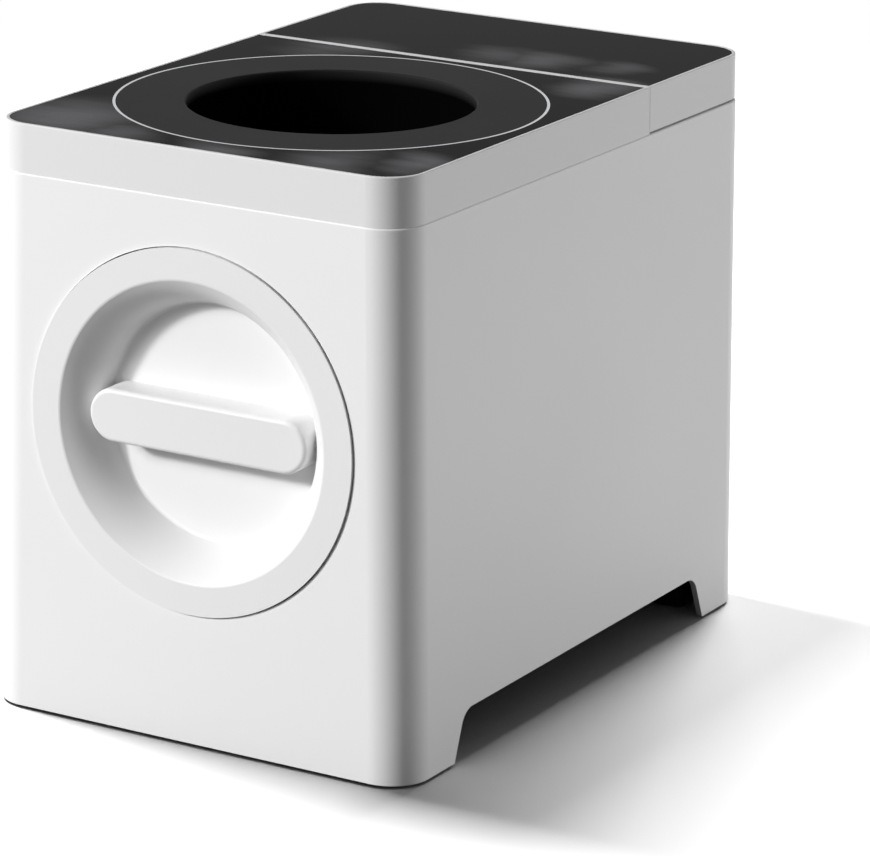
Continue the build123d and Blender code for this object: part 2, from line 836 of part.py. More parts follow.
with BuildPart() as drum_cradle:
    with BuildSketch(facing(bulkhead_front)) as trough:
        with Locations((0, axis_height)):
            Circle(cradle_outer)
        with Locations((0, flange_top - cradle_sheet / 2)):
            Rectangle(2 * cradle_flange_reach, cradle_sheet)
        with Locations((0, axis_height)):
            Circle(cradle_inner, mode=Mode.SUBTRACT)
        with Locations((0, flange_top + cradle_outer)):
            Rectangle(2 * width, 2 * cradle_outer, mode=Mode.SUBTRACT)
    extrude(amount=bulkhead_front - cradle_front)

guide_inner = drum_radius + guide_gap
guide_outer = guide_inner + guide_depth
guide_half = rail_height / 2 + rail_clearance
guide_top = axis_height + guide_half + guide_wall

with BuildPart() as guide_rails:
    with BuildSketch(facing(bulkhead_front)):
        for side in (-1, 1):
            with Locations((side * (guide_inner + guide_outer) / 2, (flange_top + guide_top) / 2)):
                Rectangle(guide_depth, guide_top - flange_top)
            with Locations((side * (guide_outer - guide_wall - guide_depth / 2), axis_height)):
                Rectangle(guide_depth, 2 * guide_half, mode=Mode.SUBTRACT)
    extrude(amount=bulkhead_front - cradle_front)

heater_front = drum_front + heater_front_margin
heater_back = drum_back - heater_back_margin

with BuildPart() as heater_mat:
    with BuildSketch(facing(heater_back)):
        add(ring_sector(cradle_outer, cradle_outer + heater_thickness, 270, 2 * heater_half_angle))
    extrude(amount=heater_back - heater_front)

thermostat_top = axis_height - cradle_outer - heater_thickness
tab_low = thermostat_top - thermostat_tab_drop

with BuildPart() as thermostat:
    posts(thermostat_top - thermostat_height, thermostat_top + join, thermostat_radius, [(0, well_y)])
    slab(
        (-thermostat_tab_reach, thermostat_tab_reach),
        (well_y - thermostat_tab_width / 2, well_y + thermostat_tab_width / 2),
        (tab_low, tab_low + thermostat_tab_sheet),
    )
    bars(
        well_y - width, well_y + width, cradle_outer + heater_thickness + snug, [(0, axis_height)],
        mode=Mode.SUBTRACT,
    )

bracket_half = half_width(base_top) - wall - bracket_side_gap
bracket_hole_x = bracket_half - bracket_hole_inset

with BuildPart() as front_bracket:
    with BuildSketch(facing(bracket_y + bracket_sheet)):
        with BuildLine():
            Polyline(
                (-bracket_half, base_top), (bracket_half, base_top),
                (cradle_flange_reach, flange_top - cradle_sheet),
                (-cradle_flange_reach, flange_top - cradle_sheet),
                close=True,
            )
        make_face()
        with Locations((0, axis_height)):
            Circle(cradle_outer + snug, mode=Mode.SUBTRACT)
    extrude(amount=bracket_sheet)
    slab(
        (-bracket_half, bracket_half), (bracket_y, bracket_y + bracket_foot),
        (base_top, base_top + bracket_sheet),
    )
    with BuildSketch(facing(bracket_y + bracket_sheet)):
        for side in (-1, 1):
            with Locations((side * bracket_hole_x, base_top + bracket_hole_inset)):
                Circle(bracket_hole_radius)
    extrude(amount=bracket_sheet, mode=Mode.SUBTRACT)

bulkhead_low_half = half_width(base_top) - wall - bulkhead_side_gap
bulkhead_high_half = half_width(bulkhead_top) - wall - bulkhead_side_gap
rib_x = bulkhead_high_half - rib_margin
cable_hole_x = width / 2 - cable_hole_margin
cable_hole_high = bulkhead_top - cable_hole_high_drop
cable_hole_low = base_top + cable_hole_low_rise
duct_half = port_half_width + duct_wall
duct_low = port_low - duct_wall
duct_high = port_high + duct_wall

with BuildPart() as rear_bulkhead:
    with BuildSketch(facing(bulkhead_back)):
        with BuildLine():
            Polyline(
                (-bulkhead_low_half, base_top), (bulkhead_low_half, base_top),
                (bulkhead_high_half, bulkhead_top), (-bulkhead_high_half, bulkhead_top),
                close=True,
            )
        make_face()
        with Locations((0, axis_height)):
            Circle(bulkhead_hole_radius, mode=Mode.SUBTRACT)
        with Locations((0, (duct_low + duct_high) / 2)):
            Rectangle(2 * (duct_half + fit), duct_high - duct_low + 2 * fit, mode=Mode.SUBTRACT)
        with Locations(
            (-cable_hole_x, cable_hole_high),
            (cable_hole_x, cable_hole_high),
            (cable_hole_x, cable_hole_low),
        ):
            Circle(cable_hole_radius, mode=Mode.SUBTRACT)
    extrude(amount=bulkhead_thickness)
    for side in (-1, 1):
        slab(
            (side * rib_x - bulkhead_thickness / 2, side * rib_x + bulkhead_thickness / 2),
            (bulkhead_back, bulkhead_back + rib_depth),
            (base_top, bulkhead_top - rib_end),
        )

# =====================================================================================================
# Drawer: drum, its front plate, rails, bushes and the spindle that carries the dial
# =====================================================================================================

bush_outer = journal_radius + running + bush_wall
drum_opening_radius = well_radius - opening_step
rail_x = drum_radius + rail_reach / 2

with BuildPart() as drum:
    with BuildSketch(radial_plane):
        with BuildLine():
            Polyline(
                (drum_front, drum_inner),
                (drum_front, drum_lip_radius),
                (drum_front + drum_lip, drum_lip_radius),
                (drum_front + drum_lip, drum_radius),
                (drum_back, drum_radius),
                (drum_back, hub_radius),
                (hub_back, hub_radius),
                (hub_back, bush_outer),
                (drum_back - drum_sheet, bush_outer),
                (drum_back - drum_sheet, drum_inner),
                close=True,
            )
        make_face()
    revolve(axis=door_axis)
    posts(
        axis_height + drum_radius / 3, axis_height + 2 * drum_radius, drum_opening_radius,
        [(0, well_y)], mode=Mode.SUBTRACT,
    )

with BuildPart() as drum_rails:
    with BuildSketch(facing(drum_back - rail_end_gap)):
        with Locations((-rail_x, axis_height), (rail_x, axis_height)):
            Rectangle(rail_reach, rail_height)
    extrude(amount=drum_back - rail_end_gap - drum_front - drum_lip)

seal_front = drum_front - seal_thickness
plate_front = seal_front - plate_thickness
plate_screw_circle = drum_lip_radius - plate_screw_inset
plate_screw_hole = plate_screw_radius + snug
plate_screws_at = on_circle(plate_screw_circle, even_angles(plate_screw_count))

with BuildPart() as drum_seal:
    bars(seal_front, drum_front, drum_lip_radius, [(0, axis_height)])
    bars(seal_front, drum_front, drum_inner, [(0, axis_height)], mode=Mode.SUBTRACT)
    bars(seal_front, drum_front, plate_screw_hole, plate_screws_at, mode=Mode.SUBTRACT)

plate_spigot = drum_inner - fit
front_boss_back = seal_front + journal_length

with BuildPart() as front_plate:
    with BuildSketch(radial_plane):
        with BuildLine():
            Polyline(
                (plate_front, spindle_radius),
                (plate_front, drum_lip_radius),
                (seal_front, drum_lip_radius),
                (seal_front, plate_spigot),
                (drum_front + plate_rim_height, plate_spigot),
                (drum_front + plate_rim_height, plate_spigot - plate_spigot_wall),
                (seal_front, plate_spigot - plate_spigot_wall),
                (seal_front, hub_radius),
                (front_boss_back, hub_radius),
                (front_boss_back, bush_outer),
                (seal_front, bush_outer),
                (seal_front, spindle_radius),
                close=True,
            )
        make_face()
    revolve(axis=door_axis)
    bars(plate_front, seal_front, plate_screw_hole, plate_screws_at, mode=Mode.SUBTRACT)

with BuildPart() as plate_screws:
    bars(
        plate_front - plate_screw_head_height, plate_front, plate_screw_head_radius, plate_screws_at,
    )
    bars(plate_front, drum_front - snug, plate_screw_radius, plate_screws_at)

with BuildPart() as front_bushing:
    bars(seal_front, front_boss_back, bush_outer, [(0, axis_height)])
    bars(seal_front, front_boss_back, journal_radius + running, [(0, axis_height)], mode=Mode.SUBTRACT)

with BuildPart() as rear_bushing:
    bars(drum_back - drum_sheet, hub_back, bush_outer, [(0, axis_height)])
    bars(
        drum_back - drum_sheet, hub_back, journal_radius + running, [(0, axis_height)],
        mode=Mode.SUBTRACT,
    )

dish_floor_y = front_face + dish_depth
dish_back = dish_floor_y + dish_wall
clip_back = dish_floor_y - running
washer_back = plate_front
spindle_front = clip_back - clip_thickness - spindle_tip
groove_radius = spindle_radius - groove_depth

with BuildPart() as thrust_washer:
    bars(washer_back - washer_thickness, washer_back, washer_radius, [(0, axis_height)])
    bars(
        washer_back - washer_thickness, washer_back, spindle_radius, [(0, axis_height)],
        mode=Mode.SUBTRACT,
    )

with BuildPart() as spindle:
    bars(spindle_front, seal_front, spindle_radius, [(0, axis_height)])
    bars(
        clip_back - clip_thickness, clip_back, spindle_radius + join, [(0, axis_height)],
        mode=Mode.SUBTRACT,
    )
    bars(clip_back - clip_thickness, clip_back, groove_radius, [(0, axis_height)])

with BuildPart() as retaining_clip:
    bars(clip_back - clip_thickness, clip_back, clip_radius, [(0, axis_height)])
    bars(
        clip_back - clip_thickness, clip_back, groove_radius, [(0, axis_height)],
        mode=Mode.SUBTRACT,
    )
    slab(
        (-clip_mouth / 2, clip_mouth / 2),
        (clip_back - clip_thickness, clip_back),
        (axis_height - clip_radius, axis_height),
        mode=Mode.SUBTRACT,
    )

# =====================================================================================================
# Dial: dished door with bayonet lugs, and the bar handle across it
# =====================================================================================================

dish_radius = door_radius - dish_margin
dish_floor_radius = dish_radius - dish_slope_width
skirt_radius = door_radius - skirt_inset
lug_radius = opening_radius - lug_gap
bar_length = 2 * (dish_floor_radius + bar_overhang)
door_face = front_face - door_stand_out
skirt_back = front_face + dial_flange + skirt_depth
lug_front = keeper_lug_back + lock_clearance
dish_slope = dish_slope_width / dish_depth
flange_back = front_face + dial_flange
wall_front = (door_face, dish_radius)
wall_back = (dish_floor_y, dish_floor_radius)
wall_back_front = (flange_back, dish_radius + dish_wall - dish_slope * dial_flange)
wall_back_back = (dish_back, dish_floor_radius + dish_wall - dish_slope * dish_wall)
bar_screw_front = dish_floor_y - bar_screw_length
bar_screws_at = [(-bar_screw_spacing / 2, axis_height), (bar_screw_spacing / 2, axis_height)]


def bowed(front, back):
    """Middle of a wall's arc in a section from front to back, bowed towards the dish's hollow."""
    along = Vector(*back) - Vector(*front)
    aside = Vector(along.Y, -along.X).normalized()
    return (Vector(*front) + Vector(*back)) / 2 + aside * dish_bow


with BuildPart() as dial_cap:
    with BuildSketch(radial_plane):
        with BuildLine():
            Polyline(
                wall_front,
                (door_face, door_radius),
                (flange_back, door_radius),
                (flange_back, skirt_radius),
                (skirt_back, skirt_radius),
                (skirt_back, skirt_radius - skirt_wall),
                (flange_back, skirt_radius - skirt_wall),
                wall_back_front,
            )
            ThreePointArc(wall_back_front, bowed(wall_back_front, wall_back_back), wall_back_back)
            Polyline(
                wall_back_back,
                (dish_back, spindle_radius + running),
                (dish_floor_y, spindle_radius + running),
                wall_back,
            )
            ThreePointArc(wall_back, bowed(wall_front, wall_back), wall_front)
        make_face()
    revolve(axis=door_axis)
    rings = dial_cap.edges().filter_by(GeomType.CIRCLE)
    floor_ring = rings.filter_by(lambda e: abs(e.radius - dish_floor_radius) < 0.01)
    fillet(floor_ring, dish_floor_round)
    rings = dial_cap.edges().filter_by(GeomType.CIRCLE)
    rim_ring = rings.filter_by(lambda e: abs(e.radius - dish_radius) < 0.01)
    fillet(rim_ring, dish_rim_round)
    with BuildSketch(facing(lug_front + lug_thickness)):
        for angle in lug_angles:
            add(ring_sector(skirt_radius - join, lug_radius, angle, lug_width))
    extrude(amount=lug_thickness)
    bars(
        dish_floor_y, dish_back, screw_radius + slack, bar_screws_at,
        mode=Mode.SUBTRACT,
    )

with BuildPart() as dish_void:
    with BuildSketch(radial_plane):
        with BuildLine():
            Polyline(wall_back, (dish_floor_y, 0), (door_face, 0), wall_front)
            ThreePointArc(wall_front, bowed(wall_front, wall_back), wall_back)
        make_face()
    revolve(axis=door_axis)
    rings = dish_void.edges().filter_by(GeomType.CIRCLE)
    fillet(rings.filter_by(lambda e: abs(e.radius - dish_floor_radius) < 0.01), dish_floor_round)

with BuildPart() as handle_bar:
    with BuildSketch(facing(dish_floor_y)):
        with Locations((0, axis_height)):
            SlotOverall(bar_length, bar_height)
    extrude(amount=dish_depth - bar_recess)
    fillet(handle_bar.edges().group_by(Axis.Y)[0], bar_edge_round)
    add(dish_void.part, mode=Mode.INTERSECT)
    bars(
        spindle_front - join, dish_floor_y, clip_radius + join, [(0, axis_height)],
        mode=Mode.SUBTRACT,
    )
    bars(
        bar_screw_front - join, dish_floor_y, screw_radius, bar_screws_at,
        mode=Mode.SUBTRACT,
    )

with BuildPart() as handle_screws:
    bars(dish_back, dish_back + bar_screw_head_height, bar_screw_head_radius, bar_screws_at)
    bars(bar_screw_front, dish_back, screw_radius - snug, bar_screws_at)

# =====================================================================================================
# Agitator: shaft with detachable blades
# =====================================================================================================

shaft_front = front_boss_back + fit
shaft_back = drum_back - drum_sheet - fit
tail_back = hub_back + tail_length
blade_angles = [0, 180, 90, 270, 0]
blade_middle = well_y - blade_shift
blade_y = [blade_middle + (i - (blade_count - 1) / 2) * blade_pitch for i in range(blade_count)]
foot_outer = drum_inner - blade_clearance
foot_inner = foot_outer - blade_foot_thickness
arm_outer = foot_inner + join
arm_middle = (shaft_radius + arm_outer) / 2

with BuildPart() as agitator_shaft:
    bars(shaft_front, shaft_back, shaft_radius, [(0, axis_height)])
    bars(seal_front + fit, shaft_front, journal_radius, [(0, axis_height)])
    bars(shaft_back, tail_back, journal_radius, [(0, axis_height)])
    for side in (-1, 1):
        slab(
            (-journal_radius, journal_radius),
            (hub_back, tail_back),
            (
                axis_height + min(side * tail_flat / 2, side * journal_radius),
                axis_height + max(side * tail_flat / 2, side * journal_radius),
            ),
            mode=Mode.SUBTRACT,
        )
    for y in blade_y:
        posts(
            axis_height - shaft_radius, axis_height + shaft_radius, blade_pin_radius, [(0, y)],
            mode=Mode.SUBTRACT,
        )

with BuildPart() as mixing_blades:
    for y, angle in zip(blade_y, blade_angles):
        bars(y - blade_hub_length / 2, y + blade_hub_length / 2, blade_hub_radius, [(0, axis_height)])
        with BuildSketch(facing(y + blade_arm_width / 2)) as arm:
            with Locations(*on_circle(arm_middle, [angle])):
                Rectangle(arm_outer - shaft_radius, blade_arm_thickness, rotation=angle)
        extrude(arm.sketch, amount=blade_arm_width)
        with BuildSketch(facing(y + blade_foot_width / 2)) as foot:
            add(ring_sector(foot_inner, foot_outer, angle, blade_foot_angle))
        extrude(foot.sketch, amount=blade_foot_width)
    bars(drum_front, drum_back, shaft_radius, [(0, axis_height)], mode=Mode.SUBTRACT)
    for y in blade_y:
        posts(
            axis_height - blade_hub_radius, axis_height + blade_hub_radius, blade_pin_radius,
            [(0, y)], mode=Mode.SUBTRACT,
        )

with BuildPart() as blade_pins:
    pin_reach = blade_hub_radius - blade_pin_recess
    for y in blade_y:
        posts(axis_height - pin_reach, axis_height + pin_reach, blade_pin_radius, [(0, y)])

# =====================================================================================================
# Gear train: motor pinion, compound idler, output gear and the socket that turns the agitator
# =====================================================================================================

output_centre = (0, axis_height)
idler_centre = (0, axis_height - gear_module * (output_teeth + small_teeth) / 2)
motor_angle = motor_swing - 90
motor_reach = gear_module * (large_teeth + pinion_teeth) / 2
motor_centre = on_circle(motor_reach, [motor_angle], idler_centre)[0]
case_front = bulkhead_back
case_back = case_front + case_depth
socket_front = hub_back + socket_end_gap
socket_back = case_front + case_wall - fit
front_bearing_y = case_front + case_wall
front_bearing_back = front_bearing_y + bearing_width
output_front = front_bearing_back + bearing_gap
output_back = output_front + output_face
small_front = output_front - gear_step
small_back = small_front + small_face
large_front = small_back + gear_step
large_back = large_front + large_face
rear_bearing_y = case_back - bearing_width - bearing_lip
collar_back = output_back + collar_length
web_front = output_front + web_recess
motor_front = case_back + case_wall
motor_back = motor_front + motor_length

with BuildPart() as drive_shaft:
    bars(socket_front, socket_back, socket_radius, [output_centre])
    bars(socket_back, collar_back, shaft_radius, [output_centre])
    bars(collar_back, case_back - fit, journal_radius, [output_centre])
    with BuildSketch(facing(socket_front + socket_depth)):
        with Locations(output_centre):
            Circle(journal_radius + fit)
        for side in (-1, 1):
            with Locations((0, axis_height + side * (tail_flat / 2 + fit + journal_radius))):
                Rectangle(2 * socket_radius, 2 * journal_radius, mode=Mode.SUBTRACT)
    extrude(amount=socket_depth, mode=Mode.SUBTRACT)

with BuildPart() as output_gear:
    gear(output_teeth, output_centre, -90, output_front, output_back)
    bars(output_back, collar_back, shaft_radius + hub_wall, [output_centre])
    bars(
        output_front, web_front, gear_module * output_teeth / 2 - web_rim, [output_centre],
        mode=Mode.SUBTRACT,
    )
    bars(output_front, web_front, shaft_radius + hub_wall, [output_centre])
    bars(
        output_front, output_back, web_hole_radius,
        on_circle(web_hole_circle, even_angles(web_hole_count), output_centre), mode=Mode.SUBTRACT,
    )
    bars(output_front, collar_back, shaft_radius, [output_centre], mode=Mode.SUBTRACT)

with BuildPart() as idler_gear:
    gear(small_teeth, idler_centre, 90 + 180 / small_teeth, small_front, small_back)
    bars(small_back, large_front, gear_module * small_teeth / 2, [idler_centre])
    gear(large_teeth, idler_centre, motor_angle, large_front, large_back)
    bars(small_front, large_back, idler_pin_radius + running, [idler_centre], mode=Mode.SUBTRACT)

with BuildPart() as idler_pin:
    bars(front_bearing_y, case_back, idler_pin_radius, [idler_centre])

with BuildPart() as motor_shaft:
    bars(
        large_front - motor_shaft_nose, motor_front + motor_plate + motor_shaft_stub,
        motor_shaft_radius, [motor_centre],
    )

with BuildPart() as motor_pinion:
    gear(
        pinion_teeth, motor_centre, motor_angle + 180 + 180 / pinion_teeth,
        large_front - pinion_lap, large_back + pinion_lap,
    )
    bars(
        large_front - join, large_back + join, motor_shaft_radius, [motor_centre],
        mode=Mode.SUBTRACT,
    )

output_ear_circle = gear_module * (output_teeth / 2 + 1) + case_clearance + case_ear
idler_ear_circle = gear_module * (large_teeth / 2 + 1) + case_clearance + case_ear
case_screws_at = on_circle(output_ear_circle, (20, 160), output_centre)
case_screws_at += on_circle(idler_ear_circle, (0, 180), idler_centre)

with BuildPart() as gearcase_front:
    with BuildSketch(facing(case_back)) as wall_line:
        add(case_outline(case_clearance + case_wall))
        for point in case_screws_at:
            with Locations(point):
                Circle(case_ear)
        add(case_outline(case_clearance), mode=Mode.SUBTRACT)
    extrude(amount=case_depth)
    with BuildSketch(facing(case_front + case_wall)) as floor:
        add(case_outline(case_clearance + join))
    extrude(amount=case_wall)
    bars(front_bearing_y, front_bearing_back, bearing_radius + bearing_wall, [output_centre])
    bars(front_bearing_y, front_bearing_back, bearing_radius, [output_centre], mode=Mode.SUBTRACT)
    bars(case_front, front_bearing_y, socket_radius + 2 * fit, [output_centre], mode=Mode.SUBTRACT)
    bars(
        case_back - case_pilot_depth, case_back, case_screw_radius, case_screws_at,
        mode=Mode.SUBTRACT,
    )

with BuildPart() as gearcase_rear:
    with BuildSketch(facing(motor_front)):
        add(case_outline(case_clearance + case_wall))
        for point in case_screws_at:
            with Locations(point):
                Circle(case_ear)
    extrude(amount=case_wall)
    bars(rear_bearing_y, case_back, rear_bearing_radius + rear_bearing_wall, [output_centre])
    rear_holes = (
        (rear_bearing_y, case_back - bearing_lip, rear_bearing_radius, [output_centre]),
        (case_back - bearing_lip, case_back, journal_radius + join, [output_centre]),
        (case_back, motor_front, motor_shaft_radius + motor_hole_gap, [motor_centre]),
        (case_back, motor_front, case_screw_radius + slack, case_screws_at),
    )
    for y_front, y_back, radius, centres in rear_holes:
        bars(y_front, y_back, radius, centres, mode=Mode.SUBTRACT)

with BuildPart() as shaft_bearings:
    bars(front_bearing_y, front_bearing_back, bearing_radius, [output_centre])
    bars(
        front_bearing_y, front_bearing_back, shaft_radius + running, [output_centre],
        mode=Mode.SUBTRACT,
    )
    bars(rear_bearing_y, rear_bearing_y + bearing_width, rear_bearing_radius, [output_centre])
    bars(
        rear_bearing_y, rear_bearing_y + bearing_width, journal_radius + running, [output_centre],
        mode=Mode.SUBTRACT,
    )

with BuildPart() as gearcase_screws:
    bars(motor_front, motor_front + screw_head_height, screw_head_radius, case_screws_at)
    bars(case_back - case_screw_length, motor_front, case_screw_radius - snug, case_screws_at)

with BuildPart() as motor:
    with BuildSketch(facing(motor_front + motor_plate)):
        with Locations(motor_centre):
            RectangleRounded(
                2 * motor_radius, 2 * (motor_radius - motor_plate_trim), motor_plate_corner,
            )
    extrude(amount=motor_plate)
    bars(motor_front + motor_plate, motor_back, motor_radius - motor_can_step, [motor_centre])
    bars(motor_back, motor_back + motor_tail, motor_tail_radius, [motor_centre])
    rings = motor.edges().filter_by(GeomType.CIRCLE)
    end_rings = rings.filter_by(lambda e: abs(e.center().Y - motor_back) < 0.01)
    chamfer(end_rings.sort_by(SortBy.RADIUS)[-1], motor_edge_chamfer)
    bars(
        motor_front, motor_front + motor_bore_depth, motor_shaft_radius + fit, [motor_centre],
        mode=Mode.SUBTRACT,
    )

# =====================================================================================================
# Filter bay, fan and ducts
# =====================================================================================================

bay_inner = bay_half_width - bay_wall

with BuildPart() as filter_bay:
    slab(
        (-bay_half_width, bay_half_width), (bay_front, bay_back), (bay_low, bay_flange_top),
        corner=bay_corner,
    )
    add(housing_block(wall + bay_flange_gap, bay_flange_top - bay_flange, bay_flange_top))
    split(bisect_by=facing(cover_front + crossbar), keep=Keep.BOTTOM)
    slab(
        (-bay_inner, bay_inner), (bay_front + bay_wall, bay_back - bay_wall),
        (bay_low + bay_wall, bay_flange_top), mode=Mode.SUBTRACT, corner=bay_corner - bay_wall,
    )
    posts(bay_low, bay_low + bay_wall, fan_bore - fan_lap, [(0, fan_y)], mode=Mode.SUBTRACT)
    slab(
        (-port_half_width, port_half_width), (bay_front, bay_front + bay_wall), (port_low, port_high),
        mode=Mode.SUBTRACT,
    )

with BuildPart() as air_duct:
    slab((-duct_half, duct_half), (well_y + well_radius / 2, bay_front), (duct_low, duct_high))
    slab(
        (-port_half_width, port_half_width),
        (well_y + well_radius / 2, bay_front),
        (port_low, port_high),
        mode=Mode.SUBTRACT,
    )
    posts(duct_low, duct_high, neck_radius + snug, [(0, well_y)], mode=Mode.SUBTRACT)

fan_boss_top = exhaust_top + fan_boss_height
axle_top = bay_low - fan_axle_drop
spoke_inner = fan_hub_radius / 2
spoke_outer = fan_size / 2

with BuildPart() as fan_frame:
    slab(
        (-fan_size / 2, fan_size / 2), (fan_y - fan_size / 2, fan_y + fan_size / 2),
        (exhaust_top, bay_low), corner=fan_corner,
    )
    posts(exhaust_top, bay_low, fan_bore, [(0, fan_y)], mode=Mode.SUBTRACT)
    posts(exhaust_top, fan_boss_top, fan_hub_radius - join, [(0, fan_y)])
    with BuildSketch(Plane.XY.offset(exhaust_top)):
        with Locations((0, fan_y)):
            with PolarLocations((spoke_inner + spoke_outer) / 2, fan_spoke_count, 45):
                Rectangle(spoke_outer - spoke_inner, fan_spoke_width)
    extrude(amount=fan_spoke_height)
    posts(fan_boss_top, axle_top, fan_axle_radius, [(0, fan_y)])

impeller_low = exhaust_top + fan_end_gap
cup_top = impeller_low + fan_cup_height
blade_rise = fan_height - fan_blade_margin
blade_middle_z = impeller_low + join + blade_rise / 2
blade_length = blade_rise / cos(radians(fan_blade_tilt))
blade_span = fan_bore - fan_tip_gap - fan_hub_radius + fan_blade_sheet

with BuildPart() as fan_impeller:
    posts(impeller_low, bay_low - fan_top_gap, fan_hub_radius, [(0, fan_y)])
    for angle in even_angles(fan_blades):
        root_x, root_y = on_circle(fan_hub_radius - fan_blade_sheet, [angle], (0, fan_y))[0]
        blade_plane = Plane(
            (root_x, root_y, blade_middle_z),
            x_dir=(-sin(radians(angle)), cos(radians(angle)), 0),
            z_dir=(cos(radians(angle)), sin(radians(angle)), 0),
        )
        with BuildSketch(blade_plane) as blade:
            Rectangle(fan_blade_sheet, blade_length, rotation=fan_blade_tilt)
        extrude(blade.sketch, amount=blade_span)
    posts(exhaust_top, bay_low, fan_bore - fan_tip_gap, [(0, fan_y)], mode=Mode.INTERSECT)
    posts(impeller_low, cup_top, fan_hub_radius - fan_hub_wall, [(0, fan_y)], mode=Mode.SUBTRACT)
    posts(cup_top, axle_top + fit, fan_axle_radius + running, [(0, fan_y)], mode=Mode.SUBTRACT)

with BuildPart() as exhaust_duct:
    duct_box = (
        (-fan_size / 2, fan_size / 2),
        (fan_y - fan_size / 2, back_inside),
        (exhaust_low, exhaust_top),
    )
    slab(*duct_box)
    slab(
        (duct_box[0][0] + duct_wall, duct_box[0][1] - duct_wall),
        (duct_box[1][0] + duct_wall, back_inside),
        (exhaust_low + duct_wall, exhaust_top),
        mode=Mode.SUBTRACT,
    )
    slab(
        duct_box[0], (fan_y + fan_size / 2, back_inside), (exhaust_top - duct_wall, exhaust_top),
    )

# =====================================================================================================
# Rear cover with its glass and the carbon filter cartridge clipped under it
# =====================================================================================================

cartridge_half = bay_inner - case_gap
cartridge_front = bay_front + bay_wall + case_gap
cartridge_back = bay_back - bay_wall - case_gap
cartridge_low = bay_low + bay_wall + cover_seat
lid_top = case_top + lid_sheet
tongue_low = bay_flange_top + cover_seat
post_x = cartridge_half - post_side_inset
post_y = (cartridge_back - cartridge_front) / 2 - post_end_inset
post_places = [(x, fan_y + y) for x in (-post_x, post_x) for y in (-post_y, post_y)]
grille_slot_length = cartridge_back - cartridge_front - 2 * grille_margin

with BuildPart() as rear_cover:
    add(housing_block(band_inset, cover_low, height))
    fillet(rear_cover.edges().group_by(Axis.Z)[-1], band_edge_round)
    add(housing_block(band_inset + band_wall, cover_low, deck_low), mode=Mode.SUBTRACT)
    add(housing_block(band_inset + rim, deck_top, height), mode=Mode.SUBTRACT)
    add(housing_block(wall + fit, tongue_low, cover_low))
    add(housing_block(wall + fit + tongue_wall, tongue_low, cover_low), mode=Mode.SUBTRACT)
    slab((-crossbar_half, crossbar_half), (cover_front, cover_front + crossbar), (cover_low, deck_low))
    slab((-crossbar_half, crossbar_half), (cover_front, cover_front + rim), (deck_top, height))
    split(bisect_by=facing(cover_front), keep=Keep.BOTTOM)
    posts(lid_top, deck_low, post_radius, post_places)
    scoop_centre = (0, cover_low - scoop_radius + scoop_depth)
    bars(back_face - 2 * band_wall, back_face, scoop_radius, [scoop_centre], mode=Mode.SUBTRACT)

with BuildPart() as rear_glass:
    add(housing_block(glass_inset, deck_top, deck_top + glass_thickness))
    split(bisect_by=facing(cover_front + rim + fit / 2), keep=Keep.BOTTOM)

with BuildPart() as filter_case:
    slab(
        (-cartridge_half, cartridge_half), (cartridge_front, cartridge_back), (cartridge_low, case_top),
        corner=bay_corner - bay_wall - case_gap,
    )
    slab(
        (case_sheet - cartridge_half, cartridge_half - case_sheet),
        (cartridge_front + case_sheet, cartridge_back - case_sheet),
        (cartridge_low + case_sheet, case_top),
        mode=Mode.SUBTRACT,
        corner=bay_corner - bay_wall - case_gap - case_sheet,
    )
    with BuildSketch(Plane.XY.offset(cartridge_low)):
        with Locations((0, fan_y)):
            with GridLocations(grille_pitch, 0, grille_slots, 1):
                SlotOverall(grille_slot_length, grille_slot_width, rotation=90)
    extrude(amount=case_sheet, mode=Mode.SUBTRACT)
    slab(
        (-port_half_width, port_half_width), (cartridge_front, cartridge_front + case_sheet),
        (port_low, port_high), mode=Mode.SUBTRACT,
    )

with BuildPart() as carbon_bed:
    slab(
        (case_sheet + snug - cartridge_half, cartridge_half - case_sheet - snug),
        (cartridge_front + case_sheet + snug, cartridge_back - case_sheet - snug),
        (cartridge_low + case_sheet, carbon_top),
        corner=bay_corner - bay_wall - case_gap - case_sheet,
    )

with BuildPart() as filter_lid:
    slab(
        (-cartridge_half, cartridge_half), (cartridge_front, cartridge_back), (case_top, lid_top),
        corner=bay_corner - bay_wall - case_gap,
    )

seal_y = (cartridge_front - case_gap + fit, cartridge_front)
seal_half = port_half_width + seal_rim

with BuildPart() as filter_seal:
    slab((-seal_half, seal_half), seal_y, (port_low - seal_rim, port_high + seal_rim_high))
    slab((-port_half_width, port_half_width), seal_y, (port_low, port_high), mode=Mode.SUBTRACT)

# =====================================================================================================
# Control board on the bulkhead
# =====================================================================================================

board_x = board_side_margin - width / 2
board_z = base_top + board_rise
board_front = bulkhead_back + board_standoff
board_back = board_front + board_sheet
standoffs_at = [
    (
        board_x + side * (board_width / 2 - standoff_inset),
        board_z + end * (board_height / 2 - standoff_inset),
    )
    for side in (-1, 1)
    for end in (-1, 1)
]
left_x = board_x - board_width / 2 + component_margin
right_x = board_x + board_width / 2 - component_margin
high_z = board_z + board_height / 2 - component_margin
connector_low = board_z - board_height / 2 + connector_rise
small_capacitors_at = [
    (right_x - small_capacitor_radius, high_z - small_capacitor_radius - drop)
    for drop in (0, small_capacitor_pitch)
]

with BuildPart() as board_standoffs:
    bars(bulkhead_back, board_front, standoff_radius, standoffs_at)

